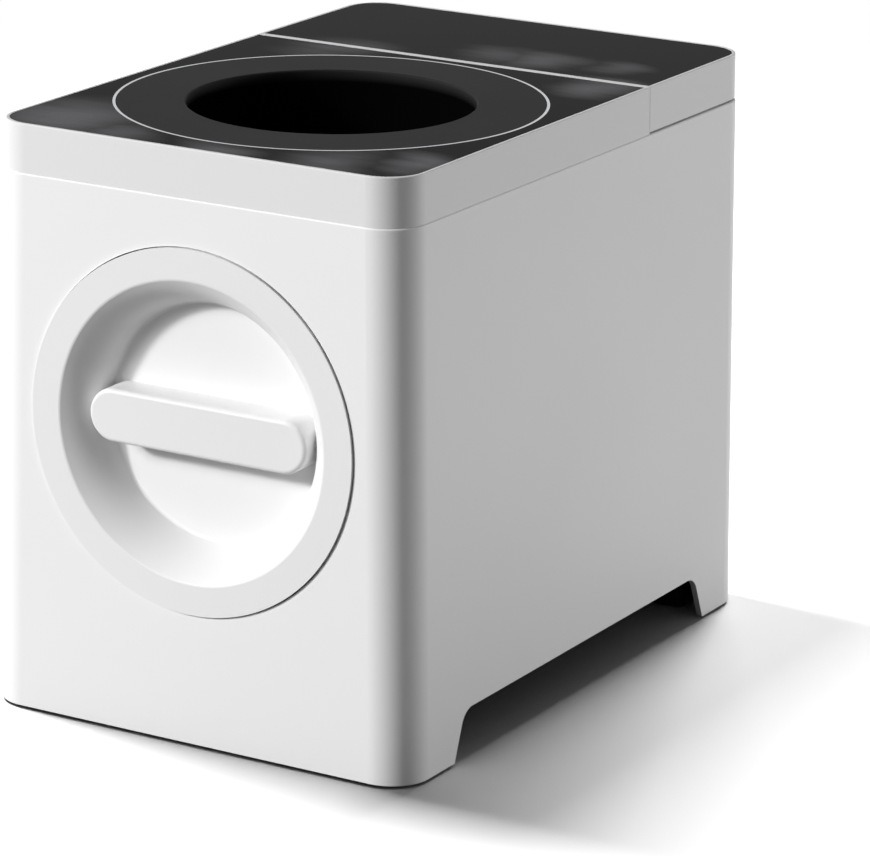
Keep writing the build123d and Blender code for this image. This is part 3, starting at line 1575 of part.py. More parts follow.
with BuildPart() as control_board:
    with BuildSketch(facing(board_back)):
        with Locations((board_x, board_z)):
            RectangleRounded(board_width, board_height, board_corner)
    extrude(amount=board_sheet)
    bars(
        board_back, board_back + capacitor_height, capacitor_radius,
        [(left_x + capacitor_radius, high_z - capacitor_radius)],
    )
    bars(
        board_back, board_back + small_capacitor_height, small_capacitor_radius, small_capacitors_at,
    )
    slab(
        (left_x, left_x + transformer_width),
        (board_back, board_back + transformer_height),
        (board_z - transformer_width / 2, board_z + transformer_width / 2),
    )
    slab(
        (right_x - heat_sink_width, right_x),
        (board_back, board_back + heat_sink_height),
        (board_z + transformer_width / 2 - heat_sink_length, board_z + transformer_width / 2),
    )
    slab(
        (board_x - connector_length / 2, board_x + connector_length / 2),
        (board_back, board_back + connector_height),
        (connector_low, connector_low + connector_width),
    )

# =====================================================================================================
# Output: one STEP file for each named piece
# =====================================================================================================

pieces = {
    "outer_shell": outer_shell, "base_tray": base_tray, "rubber_feet": rubber_feet,
    "base_screws": base_screws, "power_inlet": power_inlet, "top_frame": top_frame,
    "front_glass": front_glass, "touch_board": touch_board, "trim_ring": trim_ring,
    "inlet_collar": inlet_collar, "collar_seal": collar_seal, "keeper_ring": keeper_ring,
    "keeper_screws": keeper_screws, "drum_cradle": drum_cradle, "guide_rails": guide_rails,
    "heater_mat": heater_mat, "thermostat": thermostat, "front_bracket": front_bracket,
    "rear_bulkhead": rear_bulkhead, "drum": drum, "drum_rails": drum_rails, "drum_seal": drum_seal,
    "front_plate": front_plate, "plate_screws": plate_screws, "front_bushing": front_bushing,
    "rear_bushing": rear_bushing, "thrust_washer": thrust_washer, "spindle": spindle,
    "retaining_clip": retaining_clip, "dial_cap": dial_cap, "handle_bar": handle_bar,
    "handle_screws": handle_screws, "agitator_shaft": agitator_shaft,
    "mixing_blades": mixing_blades, "blade_pins": blade_pins, "drive_shaft": drive_shaft,
    "output_gear": output_gear, "idler_gear": idler_gear, "idler_pin": idler_pin,
    "motor_shaft": motor_shaft, "motor_pinion": motor_pinion, "gearcase_front": gearcase_front,
    "gearcase_rear": gearcase_rear, "shaft_bearings": shaft_bearings,
    "gearcase_screws": gearcase_screws, "motor": motor, "filter_bay": filter_bay,
    "air_duct": air_duct, "fan_frame": fan_frame, "fan_impeller": fan_impeller,
    "exhaust_duct": exhaust_duct, "rear_cover": rear_cover, "rear_glass": rear_glass,
    "filter_case": filter_case, "carbon_bed": carbon_bed, "filter_lid": filter_lid,
    "filter_seal": filter_seal, "board_standoffs": board_standoffs, "control_board": control_board,
}

os.makedirs("parts", exist_ok=True)
for name, piece in pieces.items():
    piece.part.label = name
    export_step(piece.part, f"parts/{name}.step")
print(f"{len(pieces)} pieces written")
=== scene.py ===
# %% [markdown]
# # A kitchen composter, dressed in Blender
# The machine is a white moulded box that stands on a counter. Its top is black glass with a round well for the
# scraps. Its front is a round door with a dish and a bar in it, which turns to unlock and then pulls the drum out.
# The solid parts come from the CAD model and stay exactly where they are. This lesson gives them their finishes,
# models the small things that only matter to the eye, and sets up the camera and the lamps.

# %% Load the CAD parts
import random
from math import cos, pi, radians, sin

import bpy
from mathutils import Matrix, Vector


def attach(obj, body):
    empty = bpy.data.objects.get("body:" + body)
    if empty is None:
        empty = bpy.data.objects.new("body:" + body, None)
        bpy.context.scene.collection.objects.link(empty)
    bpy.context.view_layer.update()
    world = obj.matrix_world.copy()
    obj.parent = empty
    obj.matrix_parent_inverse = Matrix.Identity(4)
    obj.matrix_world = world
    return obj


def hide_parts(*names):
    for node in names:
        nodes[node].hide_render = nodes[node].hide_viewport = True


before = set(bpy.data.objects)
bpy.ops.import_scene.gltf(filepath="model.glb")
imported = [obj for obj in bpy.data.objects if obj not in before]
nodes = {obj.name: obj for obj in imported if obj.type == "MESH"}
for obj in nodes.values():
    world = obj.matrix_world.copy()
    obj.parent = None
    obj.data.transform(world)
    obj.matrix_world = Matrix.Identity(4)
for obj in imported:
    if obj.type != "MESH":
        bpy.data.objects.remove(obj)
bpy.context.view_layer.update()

# %% [markdown]
# ## Units
# Blender works in metres and the drawing is in millimetres, so one value turns one into the other.

# %% Millimetres
mm = 0.001

# %% [markdown]
# ## The camera
# A product shot like this uses a long lens from far away, so that upright edges stay nearly parallel. The camera
# looks down a little and stands to the right of the front. It is placed by its turn about the upright axis, its
# height angle and a slight roll, then moved back along its own line of sight.

# %% Camera
camera_turn = radians(30.2530)
camera_height_angle = radians(16.6914)
camera_roll = radians(0.8359)
camera_distance = 2.645422
camera_slide = Vector((0.031096, -0.035698, camera_distance))
camera_target = Vector((0, 0, 0.1665))

camera_data = bpy.data.cameras.new("camera")
camera_data.lens = 192.464
camera_data.sensor_width = 36
camera_data.sensor_fit = "HORIZONTAL"
camera_data.clip_end = 100
camera = bpy.data.objects.new("camera", camera_data)
bpy.context.scene.collection.objects.link(camera)
camera_turned = (
    Matrix.Rotation(camera_turn, 4, "Z")
    @ Matrix.Rotation(pi / 2 - camera_height_angle, 4, "X")
    @ Matrix.Rotation(camera_roll, 4, "Z")
)
camera.matrix_world = Matrix.Translation(camera_target) @ camera_turned @ Matrix.Translation(camera_slide)
bpy.context.scene.camera = camera
bpy.context.scene.view_settings.view_transform = "Standard"
print("camera at", camera.matrix_world.translation)

# %% [markdown]
# ## Colours and shader nodes
# Colours are picked on screen as sRGB hex values, but shaders work with linear light, so one function turns the
# first into the second. A second small function adds any shader node, sets it and wires it up, which keeps each
# material short enough to read.

# %% Colour and node helpers
def linear(hex_colour):
    """Linear RGBA of an sRGB hex colour such as F1F1EF."""
    channels = [int(hex_colour[i:i + 2], 16) / 255 for i in (0, 2, 4)]
    return [c / 12.92 if c <= 0.04045 else ((c + 0.055) / 1.055) ** 2.4 for c in channels] + [1]


def add_node(tree, kind, options=None, values=None, links=None):
    """One shader node: options are its settings, values fill its sockets, links come from other sockets."""
    node = tree.nodes.new("ShaderNode" + kind)
    for name, value in (options or {}).items():
        setattr(node, name, value)
    for name, value in (values or {}).items():
        node.inputs[name].default_value = value
    for name, source in (links or {}).items():
        tree.links.new(source, node.inputs[name])
    return node


def new_material(name, values):
    """An empty material and its principled shader, with the finish's constant values on its own sockets."""
    material = bpy.data.materials.new(name)
    material.use_nodes = True
    shader = material.node_tree.nodes["Principled BSDF"]
    for socket, value in values.items():
        shader.inputs[socket].default_value = value
    return material, shader


print("F1F1EF is", [round(c, 3) for c in linear("F1F1EF")])

# %% [markdown]
# ## The room
# A pale studio: a large floor, and a white surround behind it. Rays from the camera, and rays that bounce off
# glossy things or pass through clear ones, see pure white there. Only the rays that carry soft light see a dimmer
# surround, so the white background adds no glare to the object.

# %% White surround
surround_light = 0.09


def rays_that_see_white(tree):
    """1 for rays from the camera, off gloss and through clear things, 0 for the rays that carry soft light."""
    path = add_node(tree, "LightPath")
    camera_or_gloss = add_node(
        tree, "Math", {"operation": "MAXIMUM"},
        links={0: path.outputs["Is Camera Ray"], 1: path.outputs["Is Glossy Ray"]},
    )
    any_of_them = add_node(
        tree, "Math", {"operation": "MAXIMUM"},
        links={0: camera_or_gloss.outputs[0], 1: path.outputs["Is Transmission Ray"]},
    )
    return any_of_them.outputs[0]


world = bpy.data.worlds.new("surround")
bpy.context.scene.world = world
world.use_nodes = True
world_tree = world.node_tree
strength = add_node(
    world_tree, "MapRange", values={"To Min": surround_light, "To Max": 1},
    links={"Value": rays_that_see_white(world_tree)},
)
world_tree.links.new(strength.outputs["Result"], world_tree.nodes["Background"].inputs["Strength"])
world_tree.nodes["Background"].inputs["Color"].default_value = (1, 1, 1, 1)
print("surround lights the object with", surround_light)

# %% [markdown]
# The floor is a sheet of pale paper. It is white to the camera, and a mid grey to the light that bounces off it,
# as real paper in a studio is never perfectly white. It catches the object's shadow. Far from the object, where the
# lamps no longer reach, it glows white for the same rays, as a lit backdrop does, so no horizon shows.

# %% Floor
floor_half = 6.0
floor_drop = 0.2 * mm
floor_bounce = 0.11
glow_starts = 0.9
glow_is_full = 1.8

bpy.ops.object.select_all(action="DESELECT")
bpy.ops.mesh.primitive_plane_add(size=2 * floor_half, location=(0, 0, -floor_drop))
floor = bpy.context.object
floor.name = "floor"
bpy.ops.object.transform_apply(location=True)
paper, paper_shader = new_material("pale_studio_paper", {"Roughness": 0.9, "Specular IOR Level": 0.0})
paper_tree = paper.node_tree
seen_white = rays_that_see_white(paper_tree)
paper_shade = add_node(
    paper_tree, "MapRange", values={"To Min": floor_bounce, "To Max": 1}, links={"Value": seen_white},
)
paper_tree.links.new(paper_shade.outputs["Result"], paper_shader.inputs["Base Color"])

paper_place = add_node(paper_tree, "TexCoord").outputs["Object"]
from_middle = add_node(paper_tree, "VectorMath", {"operation": "LENGTH"}, links={0: paper_place})
far_away = add_node(
    paper_tree, "MapRange", {"interpolation_type": "SMOOTHSTEP"},
    {"From Min": glow_starts, "From Max": glow_is_full}, {"Value": from_middle.outputs["Value"]},
)
glow_share = add_node(
    paper_tree, "Math", {"operation": "MULTIPLY"}, links={0: far_away.outputs["Result"], 1: seen_white},
)
white_glow = add_node(paper_tree, "Emission", values={"Color": (1, 1, 1, 1), "Strength": 1})
paper_or_glow = add_node(
    paper_tree, "MixShader",
    links={0: glow_share.outputs[0], 1: paper_shader.outputs["BSDF"], 2: white_glow.outputs["Emission"]},
)
paper_tree.links.new(paper_or_glow.outputs["Shader"], paper_tree.nodes["Material Output"].inputs["Surface"])
floor.data.materials.append(paper)
print("floor", floor.dimensions)

# %% [markdown]
# ## Lamps
# A softbox is a flat lamp, and the wider it is, the softer the edge of the shadow that it throws. A studio sets
# the table and the object separately, with black flags that keep one lamp's light off the other. Light linking
# does the same here: each lamp names what receives its light, and everything still throws a shadow.
# - The strip leans from the left to overhead, and lights the table only. It drops the shadow to the right of the
#   box, sharp at its front end and fading slowly away from the wall.
# - Two lamps behind the box, side by side, also light the table only, and thin that shadow out towards the back.
# - The front lamp is small and comes low from the front left. It lights the object only: the face, and the dish
#   from its side, where it draws the bar's crisp shadow. A wider lamp beside it softens the rest.
# - The fill stands low behind on the right, and lifts the long side without touching the near corner.

# %% Softboxes
table_distance = 3.2
object_distance = 8.0
lamp_aim_height = 0.15
on_table = bpy.data.collections.new("lit_by_table_lamps")
on_table.objects.link(floor)
on_object = bpy.data.collections.new("kept_from_object_lamps")
on_object.objects.link(floor)
for entry in on_object.collection_objects:
    entry.light_linking.link_state = "EXCLUDE"


def add_softbox(name, turn, height_angle, distance, width, height, level, receivers):
    """A flat lamp aimed at the box. turn counts from the front to the right, level 1 lights white as white."""
    data = bpy.data.lights.new(name, "AREA")
    data.shape = "RECTANGLE"
    data.size = width
    data.size_y = height
    data.energy = level * (pi * distance) ** 2
    lamp = bpy.data.objects.new(name, data)
    bpy.context.scene.collection.objects.link(lamp)
    lamp.light_linking.receiver_collection = receivers
    aim = Matrix.Rotation(radians(turn), 4, "Z") @ Matrix.Rotation(radians(90 - height_angle), 4, "X")
    middle = Matrix.Translation((0, 0, lamp_aim_height))
    lamp.matrix_world = middle @ aim @ Matrix.Translation((0, 0, distance))
    print(name, "level", level)
    return lamp


for name, turn, height_angle, width, height, level in (
    ("strip_lamp", -92.6, 61.2, 0.57, 2.09, 1.52),
    ("back_lamp", -174.2, 31.0, 1.09, 0.88, 0.81),
    ("side_back_lamp", -163.4, 30.5, 1.24, 1.01, 0.40),
):
    add_softbox(name, turn, height_angle, table_distance, width, height, level, on_table)
for name, turn, height_angle, width, height, level in (
    ("front_lamp", -42, 23, 0.7, 0.7, 0.62),
    ("soft_front_lamp", -35, 27, 2.2, 2.2, 0.50),
    ("fill_lamp", 132, 3, 3.5, 0.7, 0.41),
):
    add_softbox(name, turn, height_angle, object_distance, width, height, level, on_object)

# %% [markdown]
# ## White housing plastic
# The shell is injection-moulded ABS. The mould is spark-eroded, which leaves a fine even grain that softens every
# highlight, and big thin walls never cool evenly, so the sheen drifts a little from place to place. The real grain
# is about 0.2 mm and is drawn five times as coarse here so that it can show at all.

# %% Moulded plastics
drift_width = 140 * mm


def moulded_plastic(name, colour, shade, roughness, grain, grain_depth, gloss=0.3):
    """Moulded plastic with an eroded grain. shade is the colour where the surface drifts a little darker."""
    material, shader = new_material(name, {"IOR": 1.53, "Specular IOR Level": gloss})
    tree = material.node_tree
    place = add_node(tree, "TexCoord").outputs["Object"]
    drift = add_node(
        tree, "TexNoise", values={"Scale": 1 / drift_width, "Detail": 2.0, "Roughness": 0.4},
        links={"Vector": place},
    )
    colours = add_node(
        tree, "Mix", {"data_type": "RGBA"}, {6: linear(colour), 7: linear(shade)}, {0: drift.outputs["Fac"]},
    )
    tree.links.new(colours.outputs[2], shader.inputs["Base Color"])
    fine = add_node(
        tree, "TexNoise", values={"Scale": 1 / (grain * mm), "Detail": 1.0}, links={"Vector": place},
    )
    sheen_drift = add_node(
        tree, "MapRange", values={"To Min": roughness - 0.04, "To Max": roughness + 0.06},
        links={"Value": drift.outputs["Fac"]},
    )
    tree.links.new(sheen_drift.outputs["Result"], shader.inputs["Roughness"])
    bump = add_node(
        tree, "Bump", values={"Strength": 0.35, "Distance": grain_depth * mm},
        links={"Height": fine.outputs["Fac"]},
    )
    tree.links.new(bump.outputs["Normal"], shader.inputs["Normal"])
    return material


white_abs = moulded_plastic("moulded_white_abs", "F3F3F3", "EFEFEF", 0.46, 1.0, 0.05)
band_abs = moulded_plastic("moulded_white_abs_band", "E7E7E7", "E3E3E3", 0.42, 1.0, 0.05)
# The dial and bar are the shell's white ABS, painted a little darker: painted shade that holds down the light
# bouncing round inside the dish.
dial_abs_painted_shade = moulded_plastic("moulded_white_abs_dial_painted_shade", "EEEEEE", "EAEAEA", 0.44, 1.0, 0.04)
black_polypropylene = moulded_plastic(
    "moulded_black_polypropylene", "2B2B2C", "262627", 0.62, 1.4, 0.12, gloss=0.03,
)
grey_nylon = moulded_plastic("glass_filled_grey_nylon", "8D9092", "808386", 0.55, 1.8, 0.10)
black_nylon = moulded_plastic("moulded_black_nylon", "26272A", "1F2022", 0.50, 1.2, 0.06)
white_acetal = moulded_plastic("natural_white_acetal", "D9D8D0", "CFCEC6", 0.38, 1.6, 0.03)
print("white ABS, black polypropylene, nylon and acetal")

# %% [markdown]
# The inlet collar is moulded from the same black polypropylene, but only its flat ring has the dull grain. The
# mould's core is polished where it shapes the neck, so that scraps slide down, and the bore is painted nearly
# black as painted shade down the deep well. So the dull skin gives way to a smooth, nearly black one over the
# rounded edge.

# %% Polished neck with painted shade
grain_ends = 332 * mm
polish_and_painted_shade_start = 326 * mm
collar_polypropylene = moulded_plastic(
    "black_polypropylene_collar", "2B2B2C", "262627", 0.62, 1.4, 0.12, gloss=0.03,
)
collar_tree = collar_polypropylene.node_tree
collar_shader = collar_tree.nodes["Principled BSDF"]
collar_place = add_node(
    collar_tree, "SeparateXYZ", links={"Vector": add_node(collar_tree, "TexCoord").outputs["Object"]},
)
in_neck = add_node(
    collar_tree, "MapRange", values={"From Min": grain_ends, "From Max": polish_and_painted_shade_start},
    links={"Value": collar_place.outputs["Z"]},
).outputs["Result"]
grained_colour = collar_shader.inputs["Base Color"].links[0].from_socket
# Painted shade: below the rim the collar's colour goes to 050505, standing in for the shade down the well.
neck_painted_shade = add_node(
    collar_tree, "Mix", {"data_type": "RGBA"}, {7: linear("050505")}, {0: in_neck, 6: grained_colour},
)
collar_tree.links.new(neck_painted_shade.outputs[2], collar_shader.inputs["Base Color"])
grained_roughness = collar_shader.inputs["Roughness"].links[0].from_socket
neck_roughness = add_node(
    collar_tree, "Mix", {"data_type": "FLOAT"}, {3: 0.22}, {0: in_neck, 2: grained_roughness},
)
collar_tree.links.new(neck_roughness.outputs[0], collar_shader.inputs["Roughness"])
print("neck polished below", round(polish_and_painted_shade_start / mm), "mm")

# %% [markdown]
# ## Black glass
# The top is toughened glass with black enamel fired on its underside. What the eye sees is a smooth clear surface
# over deep black. Its own reflection is turned nearly off here, and faint cloudy areas are painted paler into its
# colour: a painted reflection. The same areas are also a little duller, as where a cloth has wiped it and a soft
# film stayed behind. Each area is a soft spot round a centre, and noise that is drawn out along the cloth's way
# bends the path to that centre, so that no spot is round.

# %% Enamelled glass
glass_top = 332.8 * mm
bend_reach = 50 * mm
# Each patch is a duller film with a painted reflection; its last number is how strong both are.
painted_reflection_and_film_patches = [    # x, y and radius in millimetres, and how thick the film is
    (-98, -168, 62, 1.0), (-52, -188, 38, 0.7), (10, -184, 30, 0.8), (70, -178, 38, 0.8), (116, -160, 30, 0.9),
    (106, 56, 36, 0.9), (-72, 62, 42, 0.6), (18, 100, 34, 0.6), (48, 100, 34, 0.8), (90, 112, 24, 0.6),
]


def enamelled_glass():
    """Black enamel under clear glass, nearly without its own reflection, with soft patches of a duller film whose
    paler colour is a painted reflection.
    """
    material, shader = new_material("black_enamelled_glass", {"IOR": 1.5, "Specular IOR Level": 0.002})
    tree = material.node_tree
    place = add_node(tree, "TexCoord").outputs["Object"]
    cloth_way = add_node(
        tree, "Mapping", values={"Rotation": (0, 0, radians(25)), "Scale": (0.35, 1.3, 1)},
        links={"Vector": place},
    )
    bend = add_node(
        tree, "TexNoise", values={"Scale": 1 / (38 * mm), "Detail": 2.0, "Roughness": 0.5},
        links={"Vector": cloth_way.outputs["Vector"]},
    )
    sideways = add_node(
        tree, "Mapping", values={"Scale": (bend_reach, bend_reach, 0)}, links={"Vector": bend.outputs["Color"]},
    )
    bent = add_node(
        tree, "VectorMath", {"operation": "ADD"}, links={0: place, 1: sideways.outputs["Vector"]},
    ).outputs["Vector"]
    film_and_painted_reflection = None
    for x, y, radius, strength in painted_reflection_and_film_patches:
        centre = (x * mm + bend_reach / 2, y * mm + bend_reach / 2, glass_top)
        away = add_node(tree, "VectorMath", {"operation": "DISTANCE"}, {1: centre}, {0: bent})
        spot = add_node(
            tree, "MapRange", {"interpolation_type": "SMOOTHSTEP"},
            {"From Min": 0, "From Max": radius * mm, "To Min": strength, "To Max": 0},
            {"Value": away.outputs["Value"]},
        ).outputs["Result"]
        if film_and_painted_reflection is None:
            film_and_painted_reflection = spot
        else:
            film_and_painted_reflection = add_node(tree, "Math", {"operation": "MAXIMUM"}, links={0: film_and_painted_reflection, 1: spot}).outputs[0]
    # Painted reflection: the patches are painted paler, 707073, over the black 0F0F10.
    colours = add_node(tree, "Mix", {"data_type": "RGBA"}, {6: linear("0F0F10"), 7: linear("707073")}, {0: film_and_painted_reflection})
    tree.links.new(colours.outputs[2], shader.inputs["Base Color"])
    dull = add_node(tree, "MapRange", values={"To Min": 0.05, "To Max": 0.30}, links={"Value": film_and_painted_reflection})
    tree.links.new(dull.outputs["Result"], shader.inputs["Roughness"])
    return material


black_glass = enamelled_glass()
print("glass with", len(painted_reflection_and_film_patches), "wiped areas")

# %% [markdown]
# ## Metals
# The drum and the frames are rolled stainless sheet, brushed along one direction. The shafts are turned, so their
# fine marks run round them. Both marks are noise that is squeezed hard along one axis. Cast aluminium has no
# direction: it is dull, with a shallow pebbled skin from the mould.

# %% Metal finishes
def marked_metal(name, colour, mark_colour, roughness, stretch, mark, depth):
    """Metal with tool marks: noise with marks mark millimetres wide, stretched by stretch along X, Y and Z."""
    material, shader = new_material(name, {"Metallic": 1.0})
    tree = material.node_tree
    place = add_node(tree, "TexCoord").outputs["Object"]
    squeezed = add_node(tree, "Mapping", values={"Scale": stretch}, links={"Vector": place})
    marks = add_node(
        tree, "TexNoise", values={"Scale": 1 / (mark * mm), "Detail": 3.0, "Roughness": 0.7},
        links={"Vector": squeezed.outputs["Vector"]},
    )
    colours = add_node(
        tree, "Mix", {"data_type": "RGBA"}, {6: linear(colour), 7: linear(mark_colour)}, {0: marks.outputs["Fac"]},
    )
    tree.links.new(colours.outputs[2], shader.inputs["Base Color"])
    rough = add_node(
        tree, "MapRange", values={"To Min": roughness - 0.08, "To Max": roughness + 0.10},
        links={"Value": marks.outputs["Fac"]},
    )
    tree.links.new(rough.outputs["Result"], shader.inputs["Roughness"])
    bump = add_node(
        tree, "Bump", values={"Strength": 0.4, "Distance": depth * mm}, links={"Height": marks.outputs["Fac"]},
    )
    tree.links.new(bump.outputs["Normal"], shader.inputs["Normal"])
    return material


along_x = (0.03, 1, 1)
round_y = (0.05, 1, 0.05)
even = (1, 1, 1)
brushed_stainless = marked_metal("brushed_stainless_sheet", "C6C8CA", "A9ABAE", 0.34, along_x, 1.2, 0.02)
drum_stainless = marked_metal("brushed_stainless_drum", "C9CBCD", "ACAEB1", 0.30, round_y, 1.2, 0.02)
turned_steel = marked_metal("turned_zinc_plated_steel", "B9BCC0", "9A9DA2", 0.32, round_y, 0.8, 0.01)
bright_stainless = marked_metal("polished_stainless_ring", "B9BABC", "A5A7AA", 0.22, even, 3.0, 0.005)
cast_aluminium = marked_metal("die_cast_aluminium", "B4B6B8", "96989B", 0.52, even, 2.2, 0.08)
turned_brass = marked_metal("turned_brass", "C9A76A", "A9864C", 0.30, round_y, 0.8, 0.01)
sintered_bronze = marked_metal("sintered_bronze", "A37F52", "7C5D38", 0.48, even, 1.0, 0.04)
print("steel, aluminium, brass and bronze")

# %% [markdown]
# ## Rubber, carbon and circuit board
# The seals and feet are black rubber, dull and faintly dusty. The heater is a red silicone mat with its wire laid in
# a grid that shows through. The filter holds crushed carbon, painted paler in the middle of each grain and darker
# in the gaps between grains: a painted highlight on the broken faces and painted shade between them. The board is
# green solder mask with paler copper lanes under it.

# %% Soft and special finishes
rubber = moulded_plastic("black_rubber", "232324", "2C2C2D", 0.78, 2.2, 0.15)


def patterned(name, texture, settings, values, output, dark, light, low, high, roughness, depth):
    """A finish whose colour and height both follow one texture, from dark at low to light at high."""
    material, shader = new_material(name, {"Roughness": roughness})
    tree = material.node_tree
    place = add_node(tree, "TexCoord").outputs["Object"]
    pattern = add_node(tree, texture, settings, values, {"Vector": place})
    share = add_node(
        tree, "MapRange", values={"From Min": low, "From Max": high}, links={"Value": pattern.outputs[output]},
    )
    colours = add_node(
        tree, "Mix", {"data_type": "RGBA"}, {6: linear(dark), 7: linear(light)}, {0: share.outputs["Result"]},
    )
    tree.links.new(colours.outputs[2], shader.inputs["Base Color"])
    bump = add_node(
        tree, "Bump", values={"Strength": 0.6, "Distance": depth * mm}, links={"Height": share.outputs["Result"]},
    )
    tree.links.new(bump.outputs["Normal"], shader.inputs["Normal"])
    return material


heater_silicone = patterned(
    "red_silicone_heater", "TexWave", {"bands_direction": "Y"}, {"Scale": 1 / (40 * mm), "Distortion": 0.2}, "Fac",
    "7E2A16", "A23A20", 0.55, 0.9, 0.7, 0.4,
)
# Painted highlight and painted shade: paler in each grain's middle, darker in the gaps between grains.
crushed_carbon = patterned(
    "crushed_carbon", "TexVoronoi", {}, {"Scale": 1 / (3 * mm)}, "Distance",
    "2C2C2E", "0E0E0F", 0.1, 0.7, 0.55, 1.5,
)
solder_mask = patterned(
    "green_circuit_board", "TexVoronoi", {"distance": "MANHATTAN"}, {"Scale": 1 / (6 * mm)}, "Distance",
    "14502C", "1F6B3D", 0.25, 0.45, 0.4, 0.1,
)
print("rubber, silicone, carbon and board")

# %% [markdown]
# ## Dressing the CAD parts
# Each part keeps its mesh and gets its real finish. The list is by finish, so that parts made in one way stand
# together. A last line prints any part that was left without a finish.

# %% Finishes of the parts
finishes = {
    white_abs: ["outer_shell"],
    band_abs: ["top_frame", "rear_cover"],
    dial_abs_painted_shade: ["dial_cap", "handle_bar"],
    black_glass: ["front_glass", "rear_glass"],
    bright_stainless: ["trim_ring"],
    collar_polypropylene: ["inlet_collar"],
    black_polypropylene: ["base_tray", "power_inlet", "thermostat"],
    black_nylon: ["fan_frame", "fan_impeller"],
    grey_nylon: [
        "keeper_ring", "guide_rails", "filter_bay", "air_duct", "exhaust_duct", "filter_case", "filter_lid",
    ],
    white_acetal: ["output_gear", "idler_gear"],
    brushed_stainless: ["drum_cradle", "front_bracket", "rear_bulkhead"],
    drum_stainless: ["drum", "mixing_blades"],
    turned_steel: [
        "base_screws", "keeper_screws", "plate_screws", "handle_screws", "gearcase_screws", "drum_rails", "spindle",
        "retaining_clip", "agitator_shaft", "blade_pins", "drive_shaft", "idler_pin", "motor_shaft",
        "shaft_bearings", "motor",
    ],
    cast_aluminium: ["front_plate", "gearcase_front", "gearcase_rear"],
    turned_brass: ["motor_pinion", "board_standoffs"],
    sintered_bronze: ["front_bushing", "rear_bushing", "thrust_washer"],
    rubber: ["rubber_feet", "collar_seal", "drum_seal", "filter_seal"],
    heater_silicone: ["heater_mat"],
    crushed_carbon: ["carbon_bed"],
    solder_mask: ["touch_board", "control_board"],
}
dressed = []
for material, names in finishes.items():
    for name in names:
        nodes[name].data.materials.clear()
        nodes[name].data.materials.append(material)
        dressed.append(name)
print(len(dressed), "parts dressed, left over:", sorted(set(nodes) - set(dressed)))

# %% [markdown]
# ## Screws
# Machine screws are the first thing that looks wrong when they stay plain discs. A real pan head is a shallow dome
# with a cross recess that a driver has worn. Every screw of one size is the same, so one is modelled at the
# origin, pointing up, and copies of it are laid over the places where the CAD model has its screws. Those places
# are read from the CAD mesh: its loose triangles are merged in a copy, and each connected island is one screw.

# %% Finding the places
import bmesh


def islands(name):
    """Lowest and highest corner of each separate solid in a CAD node."""
    mesh = bmesh.new()
    mesh.from_mesh(nodes[name].data)
    bmesh.ops.remove_doubles(mesh, verts=mesh.verts, dist=0.001 * mm)
    waiting = set(mesh.verts)
    boxes = []
    while waiting:
        reached = [waiting.pop()]
        members = []
        while reached:
            vert = reached.pop()
            members.append(vert.co.copy())
            for edge in vert.link_edges:
                other = edge.other_vert(vert)
                if other in waiting:
                    waiting.remove(other)
                    reached.append(other)
        low = Vector(min(co[axis] for co in members) for axis in range(3))
        high = Vector(max(co[axis] for co in members) for axis in range(3))
        boxes.append((low, high))
    mesh.free()
    return sorted(boxes, key=lambda box: tuple(round(value, 5) for value in box[0]))


print("base screws stand at", [tuple(round(v / mm, 1) for v in low) for low, high in islands("base_screws")])

# %% [markdown]
# The head starts as a disc. Its top edge is bevelled into a dome, its underside is inset to the width of the
# shank and extruded to the shank's length, and the tip is narrowed. The cross is cut with two tapered blades,
# as the driver's tip has.

# %% One screw
dome_share = 0.7      # of the head's height
tip_share = 0.15      # of the shank's length
tip_narrowing = 0.6
cross_long = 1.15     # of the head's radius
cross_wide = 0.30
cross_narrowing = 0.55


def start_edit(select_mode):
    """Edit mode on the active object, with nothing selected."""
    bpy.ops.object.mode_set(mode="EDIT")
    bpy.ops.mesh.select_mode(type=select_mode)
    bpy.ops.mesh.select_all(action="DESELECT")
    return bmesh.from_edit_mesh(bpy.context.object.data)


def pick_faces(test):
    """Selects the faces of the object in edit mode that pass the test, and nothing else."""
    mesh = bmesh.from_edit_mesh(bpy.context.object.data)
    for face in mesh.faces:
        face.select_set(False)
    for face in mesh.faces:
        if test(face):
            face.select_set(True)
    bmesh.update_edit_mesh(bpy.context.object.data)


def cut_with(target, cutter):
    """Takes the cutter out of the target and removes the cutter."""
    bpy.ops.object.select_all(action="DESELECT")
    bpy.context.view_layer.objects.active = target
    cut = target.modifiers.new("cut", "BOOLEAN")
    cut.operation = "DIFFERENCE"
    cut.solver = "EXACT"
    cut.object = cutter
    bpy.ops.object.modifier_apply(modifier="cut")
    bpy.data.objects.remove(cutter)


